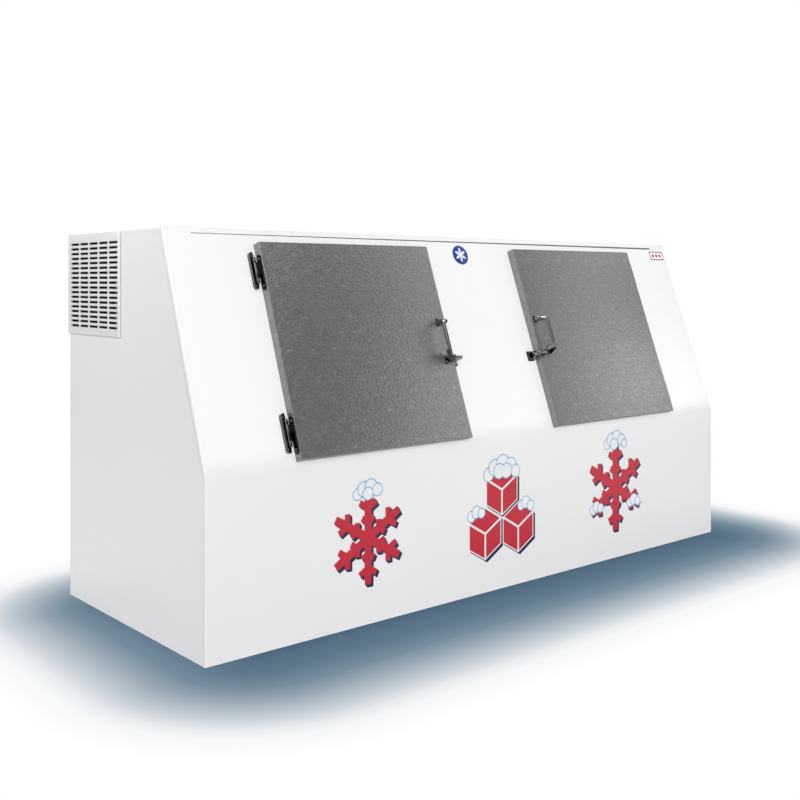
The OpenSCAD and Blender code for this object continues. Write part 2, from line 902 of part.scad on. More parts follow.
// The handle: an eye above, a grip that leans out and towards the hinges, the lever and the nose
module handle() {
    x = handle_x - grip_in;
    z = door_face + grip_out;
    color("silver") difference() {
        union() {
            rod_x([handle_x - eye_w / 2, pivot_y, pivot_z], eye_w, eye_r);
            bent_rod([[handle_x, pivot_y, pivot_z], [x, grip_top, z], [x, lever_top - 6, z]], rod_r, grip_bend);
            lever(x, z);
            translate([handle_x, nose_y - nose_size[1] / 2, pivot_z - nose_size[2] / 2]) cube(nose_size);
        }
        rod_x([handle_x - foot_w, pivot_y, pivot_z], 2 * foot_w, pin_r + running);
    }
}

// Upper foot with two round ears for the pin, and the lower foot with two rails beside the nose
module handle_feet() {
    x0 = handle_x - foot_w / 2;
    top = door_face + foot_t;
    color("silver") difference() {
        union() {
            translate([x0, pivot_y - foot_half, door_face]) cube([foot_w, 2 * foot_half, foot_t]);
            for (x = [x0, x0 + foot_w - ear_t]) {
                rod_x([x, pivot_y, pivot_z], ear_t, ear_r);
                translate([x, pivot_y - ear_r, top]) cube([ear_t, 2 * ear_r, pivot_z - top]);
            }
        }
        rod_x([x0 - past, pivot_y, pivot_z], foot_w + 2 * past, pin_r + running);
    }
    color("silver") {
        translate([guide_x, nose_y - guide_size[1] / 2, door_face]) cube([guide_size[0], guide_size[1], foot_t]);
        for (y = [-rail_gap - rail_size[1], rail_gap])
            translate([guide_x + guide_size[0] - rail_size[0], nose_y + y, top]) cube(rail_size);
    }
}

module handle_pin() {
    head = 1.5;
    color("silver") {
        rod_x([handle_x - foot_w / 2, pivot_y, pivot_z], foot_w, pin_r);
        for (x = [-foot_w / 2 - head, foot_w / 2])
            rod_x([handle_x + x, pivot_y, pivot_z], head, pin_r + head);
    }
}

// Outline of close turns of wire, cut through beside the pin
function turns(count, r, wire) = concat(
    [[r - wire, 0]],
    [for (i = [0:count - 1], a = [-75:30:75]) [r + wire * cos(a), wire * (2 * i + 1 + sin(a))]],
    [[r - wire, 2 * wire * count]]
);

// Torsion spring round the handle's pin, with one leg down to the foot
module latch_spring() {
    x0 = handle_x + eye_w / 2 + 0.5;
    color("silver") translate([x0, pivot_y, pivot_z]) {
        rotate([0, 90, 0]) rotate_extrude() polygon(turns(4, spring_r, spring_wire));
        translate([spring_wire, -spring_r, door_face + foot_t - pivot_z])
            cylinder(h = pivot_z - door_face - foot_t - 1, r = spring_wire, $fn = 16);
    }
}

// Keeper on the slant beside the door: a plate with two ramps, and a tooth between them under the nose
module strike() {
    ramp_t = 3;
    ramp_mid = 12;
    ramp_h = 24;
    tooth = [8, 12, pivot_z - nose_size[2] / 2 - 2];
    color("lightgray") translate([strike_x, nose_y, 0]) {
        translate([0, -strike_size[1] / 2, 0]) cube([strike_size[0], strike_size[1], leaf_t]);
        for (side = [-1, 1])
            translate([0, side * ramp_mid + ramp_t / 2, leaf_t]) rotate([90, 0, 0]) linear_extrude(ramp_t)
                polygon([[2, 0], [2, ramp_h - leaf_t], [10, ramp_h - leaf_t], [30, 2], [30, 0]]);
        translate([6, -tooth[1] / 2, 0]) cube(tooth);
    }
}

module left_handle() { at_door() handle(); }
module left_handle_feet() { at_door() handle_feet(); }
module left_handle_pin() { at_door() handle_pin(); }
module left_latch_spring() { at_door() latch_spring(); }
module left_strike() { at_door() strike(); }
module right_handle() { right_hand() left_handle(); }
module right_handle_feet() { right_hand() left_handle_feet(); }
module right_handle_pin() { right_hand() left_handle_pin(); }
module right_latch_spring() { right_hand() left_latch_spring(); }
module right_strike() { right_hand() left_strike(); }

// ---------- screws ----------

// Screws that hold the hinge leaves, the strikes and the rear louver
module cabinet_screws() {
    inset = 8;
    color("silver") {
        both_doors() {
            for (y = [hinge_inset, door_h - hinge_inset], dy = [-leaf_screw, leaf_screw])
                translate([leaf_mid, y + dy, leaf_t]) screw();
            for (side = [-1, 1])
                translate([strike_x + strike_screws[0], nose_y + side * strike_screws[1], leaf_t]) screw();
        }
        for (x = [louver_x[0] + inset, louver_x[1] - inset])
            for (z = [louver_z[0] + inset, louver_z[1] - inset])
                translate([x, half_d + sheet, z]) rotate([-90, 0, 0]) screw(sheet + 3);
    }
}

// Screws of one door: two in each hinge leaf, two in each foot of the handle
module door_screws() {
    inset = 14;
    foot_apart = 9.5;
    guide_apart = 10;
    color("silver") {
        for (y = [hinge_inset, door_h - hinge_inset], dy = [plate_y[0] + inset, plate_y[1] - inset])
            translate([-door_leaf_t, y + dy, (plate_z[0] + plate_z[1]) / 2]) rotate([0, -90, 0]) screw();
        for (dy = [-foot_apart, foot_apart])
            translate([handle_x, pivot_y + dy, door_face + foot_t]) screw();
        for (dy = [-guide_apart, guide_apart])
            translate([guide_x + 7, nose_y + dy, door_face + foot_t]) screw();
    }
}

module left_door_screws() { at_door() door_screws(); }
module right_door_screws() { right_hand() left_door_screws(); }

base_pan();
left_end_panel();
right_end_panel();
front_panel();
slant_panel();
back_panel();
roof_cap();
floor_insulation();
end_insulation();
back_insulation();
front_insulation();
slant_insulation();
roof_insulation();
inner_liner();
left_breaker_frame();
right_breaker_frame();
bay_wall();
unit_tray();
grille_cover();
rear_louver();
cord_bushing();
condenser_coil();
fan_shroud();
condenser_fan();
condenser_motor();
compressor();
refrigerant_lines();
control_box();
thermostat_knob();
evaporator_case();
evaporator_coil();
evaporator_fan();
evaporator_motor();
evaporator_guard();
drain_pan();
left_door_skin();
left_door_insulation();
left_door_liner();
left_door_gasket();
right_door_skin();
right_door_insulation();
right_door_liner();
right_door_gasket();
hinge_frame_leaves();
left_hinge_door_leaves();
right_hinge_door_leaves();
hinge_pins();
left_handle();
left_handle_feet();
left_handle_pin();
left_latch_spring();
left_strike();
right_handle();
right_handle_feet();
right_handle_pin();
right_latch_spring();
right_strike();
cabinet_screws();
left_door_screws();
right_door_screws();
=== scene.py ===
"""Looks of a slant-front ice merchandiser freezer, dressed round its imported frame."""

import json
import math

import bmesh
import bpy
from bpy.props import FloatProperty, FloatVectorProperty, IntProperty, PointerProperty
from bpy.types import NodeSocket, Operator, Panel, PropertyGroup
from mathutils import Euler, Matrix, Vector


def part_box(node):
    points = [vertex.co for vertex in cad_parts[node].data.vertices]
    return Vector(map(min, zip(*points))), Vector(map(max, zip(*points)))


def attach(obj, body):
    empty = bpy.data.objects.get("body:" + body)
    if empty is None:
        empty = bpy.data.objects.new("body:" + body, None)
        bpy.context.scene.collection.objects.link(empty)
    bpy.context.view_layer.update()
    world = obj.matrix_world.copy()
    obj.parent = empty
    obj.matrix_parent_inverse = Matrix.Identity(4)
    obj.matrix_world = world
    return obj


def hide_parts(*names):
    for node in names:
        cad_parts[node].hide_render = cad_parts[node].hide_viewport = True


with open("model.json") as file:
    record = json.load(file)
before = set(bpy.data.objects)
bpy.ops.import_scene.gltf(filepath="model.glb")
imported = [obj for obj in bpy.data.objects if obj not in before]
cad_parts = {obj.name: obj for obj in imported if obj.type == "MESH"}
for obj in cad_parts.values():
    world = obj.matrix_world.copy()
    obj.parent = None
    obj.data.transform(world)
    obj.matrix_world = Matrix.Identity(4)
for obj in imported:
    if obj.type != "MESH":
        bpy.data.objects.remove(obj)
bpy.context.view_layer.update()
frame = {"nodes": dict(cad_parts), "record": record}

bl_info = {
    "name": "Ice merchandiser freezer",
    "version": (1, 0, 0),
    "blender": (4, 5, 0),
    "location": "3D View > Sidebar > Freezer",
    "description": "Models the outside of a slant-front ice merchandiser and dresses its machinery",
    "category": "Object",
}

# Corners of the cabinet, in millimetres, from the frame
LEFT_END, FRONT_WALL, _ = (v * 1000 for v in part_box("left_end_panel")[0])
RIGHT_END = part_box("right_end_panel")[1].x * 1000
BACK_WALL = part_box("left_end_panel")[1].y * 1000
SHELL_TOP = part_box("left_end_panel")[1].z * 1000
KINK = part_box("front_panel")[1].z * 1000
SLANT_TOP_Y = -192
LEAN = math.atan2(SLANT_TOP_Y - FRONT_WALL, SHELL_TOP + 1 - KINK)
UP_SLANT = Vector((0, math.sin(LEAN), math.cos(LEAN)))
OFF_SLANT = Vector((0, -math.cos(LEAN), math.sin(LEAN)))
AT_KINK = Vector((0, FRONT_WALL, KINK))

# The slant's own frame, and the left door's: x from its hinge edge, y from its bottom edge, z outwards
ON_SLANT = Matrix.Translation(AT_KINK / 1000) @ Matrix.Rotation(math.pi / 2 - LEAN, 4, "X")
DOORWAY_FOOT, DOORWAY_HEAD = 52.5, 643
DOOR_WIDE, DOOR_HIGH = 682, 670.5
DOOR_BACK, DOOR_FACE = 5, 32
AT_DOOR = ON_SLANT @ Matrix.Translation((-0.8955, 0.0125, 0))
MIRROR = Matrix.Scale(-1, 4, (1, 0, 0))
HINGES, LEAF_X = (85.5, DOOR_HIGH - 85.5), -17.5
LATCH, PIVOT_Y = 266.5, 395.5
SEAM_TOP, SEAM_INSET = 717.5, 92
BADGE_AT, BADGE_RISE = 1163, 666
STICKER_AT, STICKER_RISE = 2330, 683


class FreezerSizes(PropertyGroup):
    """Sizes of the sheet work that a user may change"""

    fold: FloatProperty(
        name="Fold", description="Outer radius of the folds in the cabinet's skin",
        default=0.004, min=0.001, max=0.008, unit="LENGTH")
    flange: FloatProperty(
        name="Flange", description="How far the front skin wraps on to the ends",
        default=0.015, min=0.008, max=0.025, unit="LENGTH")
    skin: FloatProperty(
        name="Skin", description="Thickness of the sheet",
        default=0.001, min=0.0006, max=0.0015, unit="LENGTH")
    door_fold: FloatProperty(
        name="Door fold", description="Outer radius of the door pan's folds",
        default=0.0028, min=0.001, max=0.006, unit="LENGTH")
    slot_rows: IntProperty(
        name="Slot rows", description="Rows of slots in the grille cover",
        default=18, min=4, max=24)
    slot_columns: IntProperty(
        name="Slot columns", description="Columns of slots in the grille cover",
        default=5, min=1, max=8)
    flake: FloatProperty(
        name="Snowflake", description="Reach of an arm of the printed snowflakes",
        default=0.165, min=0.08, max=0.2, unit="LENGTH")


class FreezerColours(PropertyGroup):
    """Colours of the finishes, as linear values"""

    white: FloatVectorProperty(
        name="Enamel", description="Cabinet enamel",
        subtype="COLOR", default=(0.871, 0.871, 0.875), min=0, max=1)
    door: FloatVectorProperty(
        name="Door", description="Embossed door sheet",
        subtype="COLOR", default=(0.275, 0.275, 0.277), min=0, max=1)
    red: FloatVectorProperty(
        name="Red", description="Red of the printed vinyl",
        subtype="COLOR", default=(0.60, 0.008, 0.03), min=0, max=1)
    navy: FloatVectorProperty(
        name="Navy", description="Dark blue of the printed vinyl",
        subtype="COLOR", default=(0.009, 0.008, 0.07), min=0, max=1)
    ice: FloatVectorProperty(
        name="Ice blue", description="Outline of the printed snow",
        subtype="COLOR", default=(0.16, 0.48, 0.80), min=0, max=1)


# ---------- materials ----------


def linear(code):
    """Linear red, green, blue and alpha of an sRGB hex value."""
    parts = [int(code[i : i + 2], 16) / 255 for i in (1, 3, 5)]
    return tuple(c / 12.92 if c <= 0.04045 else ((c + 0.055) / 1.055) ** 2.4 for c in parts) + (1.0,)


def shade(colour, factor):
    """The colour, lighter or darker by a factor."""
    return tuple(min(1.0, c * factor) for c in colour[:3]) + (1.0,)


def add(tree, kind, inputs=(), out=0, **settings):
    """Adds a shader node and gives one of its outputs, or with out=None the node itself.

    Its inputs, in order or by name, are constants or other nodes' outputs."""
    made = tree.nodes.new("ShaderNode" + kind)
    for name, value in settings.items():
        setattr(made, name, value)
    for name, value in inputs.items() if isinstance(inputs, dict) else enumerate(inputs):
        if isinstance(value, NodeSocket):
            tree.links.new(value, made.inputs[name])
        else:
            made.inputs[name].default_value = value
    return made if out is None else made.outputs[out]


def bare_material(name):
    """A new material without nodes, and its tree."""
    made = bpy.data.materials.new(name)
    made.use_nodes = True
    made.node_tree.nodes.clear()
    return made, made.node_tree


def material(name, recipe):
    """The named material, made by its recipe the first time it is asked for."""
    made = bpy.data.materials.get(name)
    if made is None:
        made, tree = bare_material(name)
        bsdf = add(tree, "BsdfPrincipled", out=None)
        add(tree, "OutputMaterial", {"Surface": bsdf.outputs[0]}, None)
        recipe(tree, bsdf, add(tree, "TexCoord", out="Object"))
        made.diffuse_color = tuple(bsdf.inputs["Base Color"].default_value)
    return made


def spread(tree, place, size_mm, low, high, detail=3.0):
    """Noise of a real size in millimetres, from one value or colour to another."""
    noise = add(tree, "TexNoise", {"Vector": place, "Scale": 1000 / size_mm, "Detail": detail})
    if isinstance(low, tuple):
        return add(tree, "Mix", {0: noise, 6: low, 7: high}, 2, data_type="RGBA")
    return add(tree, "MapRange", [noise, 0.25, 0.75, low, high])


def relief(tree, bsdf, height, depth_mm, strength=1.0, under=None):
    """Bump of a real depth in millimetres from a height between 0 and 1."""
    inputs = {"Height": height, "Distance": depth_mm / 1000, "Strength": strength}
    if under is not None:
        inputs["Normal"] = under
    bump = add(tree, "Bump", inputs)
    tree.links.new(bump, bsdf.inputs["Normal"])
    return bump


def above_slant(tree, place):
    """Height of a point above the slant's sheet, in metres."""
    from_kink = add(tree, "VectorMath", [place, AT_KINK / 1000], operation="SUBTRACT")
    return add(tree, "VectorMath", [from_kink, OFF_SLANT], "Value", operation="DOT_PRODUCT")


def outside(tree, place, low, high):
    """How far a point is outside a box, in metres, and less than 0 inside it."""
    low, high = Vector(low), Vector(high)
    from_middle = add(tree, "VectorMath", [place, (low + high) / 2], operation="SUBTRACT")
    from_middle = add(tree, "VectorMath", [from_middle], operation="ABSOLUTE")
    beyond = add(tree, "VectorMath", [from_middle, (high - low) / 2], operation="SUBTRACT")
    x, y, z = add(tree, "SeparateXYZ", [beyond], None).outputs
    return add(tree, "Math", [x, add(tree, "Math", [y, z], operation="MAXIMUM")], operation="MAXIMUM")


def coat(tree, bsdf, place, base, tone, rough, metallic=0.0, grain=None):
    """What most finishes share: clouds of two colours, patchy roughness and a fine relief."""
    bsdf.inputs["Base Color"].default_value = linear(base)
    bsdf.inputs["Metallic"].default_value = metallic
    size, first, last, *detail = tone
    clouds = spread(tree, place, size, linear(first), linear(last), *detail)
    tree.links.new(clouds, bsdf.inputs["Base Color"])
    if isinstance(rough, tuple):
        tree.links.new(spread(tree, place, *rough), bsdf.inputs["Roughness"])
    else:
        bsdf.inputs["Roughness"].default_value = rough
    if grain:
        size, depth, strength = grain
        relief(tree, bsdf, spread(tree, place, size, 0.0, 1.0), depth, strength)


def enamel(tree, bsdf, place):
    # Baked polyester enamel on steel sheet: sprayed and cured, a satin white with a faint
    # orange peel and long soft waves where the foam pushes against the sheet. The flanges
    # folded on to the ends are painted a little greyer as shade of their tilt, a shadow is
    # painted round the grille cover, and the inside of the machine compartment is painted dark as shade
    white = tuple(bpy.context.scene.freezer_colours.white) + (1.0,)
    far = 9  # metres, well past the cabinet
    left, front, back = LEFT_END / 1000, FRONT_WALL / 1000, BACK_WALL / 1000
    x, y, _ = add(tree, "SeparateXYZ", [place], None).outputs
    ends = outside(tree, place, (left + 0.0004, -far, -far), (-left - 0.0004, far, far))
    ends = add(tree, "Math", [ends, 0.0], operation="GREATER_THAN")
    # Painted shade: the flanges folded on to the ends are darkened
    by_slant = add(tree, "MapRange", [above_slant(tree, place), -0.018232, -0.016168, 0.0, 1.0])
    by_front = add(tree, "MapRange", [y, front + 0.01272, front + 0.01128, 0.0, 1.0])
    flange = add(tree, "Math", [by_slant, by_front], operation="MAXIMUM")
    flange = add(tree, "Math", [ends, flange], operation="MULTIPLY")
    # Painted shadow: a darker band round the grille cover on the end panel
    low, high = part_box("grille_cover")
    by_cover = outside(tree, place, (-far, low.y, low.z), (far, high.y, high.z))
    by_cover = add(tree, "MapRange", [by_cover, 0.0025, 0.0055, 1.0, 0.0])
    outer = add(tree, "Math", [x, left + 0.0006], operation="LESS_THAN")
    painted_cover_shadow = add(tree, "Math", [outer, by_cover], operation="MULTIPLY")
    # Painted shade: the inside of the machine compartment is made nearly black
    bay_right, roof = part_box("rear_louver")[1].x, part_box("roof_cap")[1].z
    painted_bay_shade = outside(tree, place, (left + 0.002, low.y, -far), (bay_right, back - 0.0003, roof - 0.001))
    painted_bay_shade = add(tree, "Math", [painted_bay_shade, 0.0], operation="LESS_THAN")
    bsdf.inputs["Base Color"].default_value = white
    tone = spread(tree, place, 420, white, shade(white, 0.975))
    painted_shades = ((flange, shade(white, 0.93)), (painted_cover_shadow, shade(white, 0.72)), (painted_bay_shade, linear("#1E1E1F")))
    for mask, colour in painted_shades:
        tone = add(tree, "Mix", {0: mask, 6: tone, 7: colour}, 2, data_type="RGBA")
    tree.links.new(tone, bsdf.inputs["Base Color"])
    tree.links.new(spread(tree, place, 60, 0.34, 0.42), bsdf.inputs["Roughness"])
    waves = relief(tree, bsdf, spread(tree, place, 380, 0.0, 1.0, 1.0), 0.7, 0.6)
    relief(tree, bsdf, spread(tree, place, 5, 0.0, 1.0, 1.0), 0.03, 0.5, waves)
    bsdf.inputs["IOR"].default_value = 1.5


def grille_enamel(tree, bsdf, place):
    # The same enamel on the pressed cover: a little greyer, with dust in its texture
    coat(tree, bsdf, place, "#EAEAEA", (90, "#ECECEC", "#E3E3E3"), (30, 0.38, 0.48))
    relief(tree, bsdf, spread(tree, place, 4, 0.0, 1.0, 1.0), 0.03, 0.5)


def stucco_sheet(tree, bsdf, place):
    # Stucco-embossed aluminium sheet, rolled and clear-coated: a dull grey with fine crossed
    # pebbling, whose glitter is partly painted into a mottled tone, and a painted glint at each
    # turn of the embossing roll, in staggered rows 51 mm apart
    grey = tuple(bpy.context.scene.freezer_colours.door) + (1.0,)
    turned = Euler((LEAN - math.pi / 2, 0, 0))
    flat = add(tree, "Mapping", {"Vector": place, "Rotation": turned}, vector_type="POINT")
    turns = (2 * math.pi / 0.082, math.pi / 0.051, 0)
    waves = add(tree, "VectorMath", [flat, turns], operation="MULTIPLY")
    waves = add(tree, "VectorMath", [waves], operation="COSINE")
    across, along, _ = add(tree, "SeparateXYZ", [waves], None).outputs
    # Painted glint: small bright dashes on a staggered lattice lighten the base colour
    painted_glint = add(tree, "Math", [across, along], operation="MULTIPLY")
    painted_glint = add(tree, "Math", [painted_glint, 0.0], operation="GREATER_THAN")
    crests = add(tree, "VectorMath", [waves], operation="ABSOLUTE")
    across, along, _ = add(tree, "SeparateXYZ", [crests], None).outputs
    across = add(tree, "Math", [across, 0.6], operation="POWER")
    along = add(tree, "Math", [along, 5.0], operation="POWER")
    crests = add(tree, "Math", [across, along], operation="MULTIPLY")
    crests = add(tree, "MapRange", [crests, 0.72, 0.95, 0.0, 1.0])
    for mask in (crests, spread(tree, flat, 120, 0.1, 0.8)):
        painted_glint = add(tree, "Math", [painted_glint, mask], operation="MULTIPLY")
    # The real pebbles are about 3 mm, too fine to show, so they are drawn at 8 mm
    pebbles = {"Vector": flat, "Scale": 1000 / 8, "Smoothness": 0.5, "Randomness": 0.9}
    pebbles = add(tree, "TexVoronoi", pebbles, feature="SMOOTH_F1")
    # Mottled tone at 9 mm: partly random tone, partly painted glitter of the pebbling
    tone = spread(tree, flat, 9, shade(grey, 0.62), shade(grey, 1.4), 4.0)
    tone = add(tree, "Mix", {0: painted_glint, 6: tone, 7: shade(grey, 1.4)}, 2, data_type="RGBA")
    bsdf.inputs["Base Color"].default_value = grey
    tree.links.new(tone, bsdf.inputs["Base Color"])
    bsdf.inputs["Metallic"].default_value = 0.75
    tree.links.new(spread(tree, flat, 25, 0.34, 0.42), bsdf.inputs["Roughness"])
    relief(tree, bsdf, pebbles, 1.0, 0.9)


def chrome(tree, bsdf, place):
    # Polished chrome plate on die-cast zinc: a dark mirror with bright edges and faint wipe
    # marks. In the recesses next to the slant, and where the hinge leaves stand against the
    # doors' sides, it is painted nearly black as shade
    coat(tree, bsdf, place, "#7C7D80", (8, "#76777A", "#88898C"), (6, 0.06, 0.16, 4.0), 1.0)
    plate = bsdf.inputs["Base Color"].links[0].from_socket
    # Painted shade: the recesses next to the slant and the leaves beside the doors' sides are darkened
    by_slant = add(tree, "MapRange", [above_slant(tree, place), 0.0030, 0.0045, 1.0, 0.0])
    x = add(tree, "SeparateXYZ", [place])
    by_door = add(tree, "Math", [x], operation="ABSOLUTE")
    by_door = add(tree, "Math", [by_door, 0.8967], operation="SUBTRACT")
    by_door = add(tree, "Math", [by_door], operation="ABSOLUTE")
    by_door = add(tree, "MapRange", [by_door, 0.0014, 0.0026, 1.0, 0.0])
    recess = add(tree, "Math", [by_slant, by_door], operation="MAXIMUM")
    tone = add(tree, "Mix", {0: recess, 6: plate, 7: linear("#3A393D")}, 2, data_type="RGBA")
    tree.links.new(tone, bsdf.inputs["Base Color"])


def zinc(tree, bsdf, place):
    # Zinc-plated steel: a soft bluish silver with cloudy patches
    coat(tree, bsdf, place, "#B9BCC0", (5, "#AEB2B8", "#C6C8CA"), (4, 0.25, 0.38), 1.0)


def screw_zinc(tree, bsdf, place):
    # Zinc-plated screws that have gone dull: a darker grey with a fine grain
    coat(tree, bsdf, place, "#7C7E82", (3, "#707276", "#8A8C90"), (4, 0.3, 0.42), 1.0)


def galvanised(tree, bsdf, place):
    # Hot-dipped galvanised sheet: grey zinc crystals about 14 mm across, each with its own sheen
    cells = add(tree, "TexVoronoi", {"Vector": place, "Scale": 1000 / 14}, "Color")
    tint = {0: cells, 6: linear("#A5A9AC"), 7: linear("#C3C6C8")}
    tree.links.new(add(tree, "Mix", tint, 2, data_type="RGBA"), bsdf.inputs["Base Color"])
    bsdf.inputs["Metallic"].default_value = 0.9
    tree.links.new(spread(tree, place, 10, 0.32, 0.5), bsdf.inputs["Roughness"])
    relief(tree, bsdf, spread(tree, place, 6, 0.0, 1.0), 0.04, 0.5)


def liner_enamel(tree, bsdf, place):
    # White enamelled steel of the cold room: glossier than outside, with faint scuffs from the bags
    coat(tree, bsdf, place, "#ECEDEC", (200, "#EEEFEE", "#E4E6E6"),
         (35, 0.28, 0.42, 5.0), grain=(4, 0.04, 0.5))


def breaker_plastic(tree, bsdf, place):
    # Extruded rigid PVC strip: warm white, lightly drawn along its length
    coat(tree, bsdf, place, "#E6E5E0", (70, "#E8E7E2", "#DEDDD8"),
         (12, 0.42, 0.52), grain=(3, 0.03, 0.4))


def gasket_vinyl(tree, bsdf, place):
    # Soft extruded vinyl bulb: mid grey, matt, with a slightly grained skin
    coat(tree, bsdf, place, "#77787A", (12, "#727375", "#7E7F81"), 0.62, grain=(2, 0.08, 0.5))
    bsdf.inputs["Sheen Weight"].default_value = 0.1


def foam(tree, bsdf, place):
    # Poured polyurethane foam: straw yellow with small open cells
    coat(tree, bsdf, place, "#D8C07A", (40, "#DCC584", "#C8AD66"), 0.9)
    relief(tree, bsdf, add(tree, "TexVoronoi", {"Vector": place, "Scale": 1000 / 3}), 0.8, 0.7)


def coil_block(tree, bsdf, place):
    # Aluminium fins painted dark as the shade behind the grille, and copper return bends,
    # brown with dust and painted darker as shade, in front of the end plate
    coat(tree, bsdf, place, "#323436", (20, "#2B2D2F", "#3A3C3E"), (15, 0.4, 0.55), 0.8)
    for coil in ("condenser_coil", "evaporator_coil"):
        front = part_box(coil)[0].y
        bends = outside(tree, place, (-9, front - 0.001, -9), (9, front + 0.0125, 9))
        bends = add(tree, "Math", [bends, 0.0], operation="LESS_THAN")
        # Painted shade and dust: the return bends are darkened
        tone = {0: bends, 6: bsdf.inputs["Base Color"].links[0].from_socket, 7: linear("#54341F")}
        tree.links.new(add(tree, "Mix", tone, 2, data_type="RGBA"), bsdf.inputs["Base Color"])


def copper(tree, bsdf, place):
    # Drawn copper tube, dulled by handling: brown patches on an orange metal
    coat(tree, bsdf, place, "#B8693F", (30, "#C27245", "#8A4E30", 5.0), (20, 0.25, 0.5), 1.0)


def black_paint(tree, bsdf, place):
    # Stove-painted black steel of the hermetic can: semi-gloss with a light peel
    coat(tree, bsdf, place, "#1B1B1C", (50, "#191919", "#242426"),
         (25, 0.3, 0.42), grain=(3, 0.05, 0.5))


def motor_paint(tree, bsdf, place):
    # Grey machine paint over cast aluminium, grainy and matt
    coat(tree, bsdf, place, "#5C5F62", (25, "#595C5F", "#6A6D70"),
         (10, 0.5, 0.65), grain=(2, 0.1, 0.5))


def moulded_black(tree, bsdf, place):
    # Moulded glass-filled nylon: black and matt, with flow marks and a fine spark texture
    coat(tree, bsdf, place, "#202123", (30, "#1D1E20", "#2A2B2D"),
         (8, 0.45, 0.58), grain=(1.5, 0.05, 0.6))


def seam_sealant(tree, bsdf, place):
    # Painted shadow in the gap under the roof lip: a matt dark grey strip
    coat(tree, bsdf, place, "#5E5E60", (30, "#565658", "#7A7A7C"), 0.8, grain=(3, 0.1, 0.5))


def printed(colour):
    """A recipe for one ink of the cast vinyl film."""

    def recipe(tree, bsdf, place):
        # Solvent ink on cast vinyl under a gloss laminate: even colour with a very slight
        # print grain, and a soft shine that follows the enamel below
        bsdf.inputs["Base Color"].default_value = colour
        tree.links.new(spread(tree, place, 45, colour, shade(colour, 0.86)), bsdf.inputs["Base Color"])
        tree.links.new(spread(tree, place, 20, 0.3, 0.38), bsdf.inputs["Roughness"])
        relief(tree, bsdf, spread(tree, place, 6, 0.0, 1.0), 0.02, 0.4)

    return recipe


def ink(name):
    """The vinyl film's material in one of its inks."""
    colours = bpy.context.scene.freezer_colours
    codes = {"white": "#F7F8FA", "blue": "#1C3F94", "snow": "#FBFCFD"}
    tint = linear(codes[name]) if name in codes else tuple(getattr(colours, name)) + (1.0,)
    return material("vinyl_" + name, printed(tint))


# The finish of each material slot in the record
FINISHES = {
    "cabinet_enamel": ("white_enamel", enamel),
    "grille_enamel": ("grille_enamel", grille_enamel),
    "galvanised": ("galvanised_sheet", galvanised),
    "foam": ("polyurethane_foam", foam),
    "liner": ("liner_enamel", liner_enamel),
    "breaker": ("breaker_pvc", breaker_plastic),
    "fins": ("coated_coil", coil_block),
    "fan_black": ("moulded_nylon", moulded_black),
    "compressor_black": ("black_stove_paint", black_paint),
    "motor_grey": ("motor_grey_paint", motor_paint),
    "copper": ("copper_tube", copper),
    "zinc": ("zinc_plate", zinc),
    "door_sheet": ("stucco_aluminium", stucco_sheet),
    "gasket": ("gasket_vinyl", gasket_vinyl),
    "chrome": ("chrome_plate", chrome),
}


# ---------- modelling steps ----------


def nothing_selected():
    """Leaves edit mode and deselects everything."""
    if bpy.context.mode != "OBJECT":
        bpy.ops.object.mode_set(mode="OBJECT")
    bpy.ops.object.select_all(action="DESELECT")


def only(piece):
    """Selects one piece and makes it the active one."""
    nothing_selected()
    piece.select_set(True)
    bpy.context.view_layer.objects.active = piece


def settled(name):
    """Applies the new primitive's place and names it."""
    bpy.ops.object.transform_apply(location=True, rotation=True, scale=True)
    piece = bpy.context.object
    piece.name = piece.data.name = name
    return piece


def block(name, low, high):
    """A block between two corners in millimetres: the start of a sheet or a casting."""
    nothing_selected()
    low, high = Vector(low) / 1000, Vector(high) / 1000
    bpy.ops.mesh.primitive_cube_add(size=1, location=(low + high) / 2)
    bpy.ops.transform.resize(value=high - low)
    return settled(name)


def bar(name, start, end, radius, sides=32):
    """A round bar between two points in millimetres."""
    nothing_selected()
    start, end = Vector(start) / 1000, Vector(end) / 1000
    turn = (end - start).to_track_quat("Z", "Y").to_euler()
    bpy.ops.mesh.primitive_cylinder_add(
        vertices=sides, radius=radius / 1000, depth=(end - start).length,
        location=(start + end) / 2, rotation=turn)
    return settled(name)


def middle(item):
    """Middle of a vertex, edge or face in millimetres."""
    corners = [item.co] if hasattr(item, "co") else [v.co for v in item.verts]
    return sum(corners, Vector()) * (1000 / len(corners))


def near(a, b, gap=0.05):
    return abs(a - b) < gap


def pick(piece, kind, test):
    """Goes into edit mode and selects what passes the test."""
    only(piece)
    bpy.ops.object.mode_set(mode="EDIT")
    bpy.ops.mesh.select_mode(type=kind)
    bpy.ops.mesh.select_all(action="DESELECT")
    mesh = bmesh.from_edit_mesh(piece.data)
    mesh.normal_update()
    items = {"VERT": mesh.verts, "EDGE": mesh.edges, "FACE": mesh.faces}[kind]
    chosen = [item for item in items if test(item)]
    if not chosen:
        raise RuntimeError(f"{piece.name}: no {kind.lower()} passes the test")
    for item in chosen:
        item.select_set(True)
    mesh.select_flush_mode()
    bmesh.update_edit_mesh(piece.data)


def sharp(edge, least=0.5):
    """Whether the faces beside an edge turn by more than an angle."""
    return len(edge.link_faces) == 2 and edge.calc_face_angle(0) > least


def runs(edge, axis):
    """Whether an edge runs along x, y or z: 0, 1 or 2."""
    return abs((edge.verts[0].co - edge.verts[1].co).normalized()[axis]) > 0.9


def round_off(piece, radius, steps=3, test=sharp):
    """Bevels the edges that pass the test, by a radius in millimetres."""
    pick(piece, "EDGE", test)
    bpy.ops.mesh.bevel(offset=radius / 1000, segments=steps, affect="EDGES", clamp_overlap=True)
    nothing_selected()


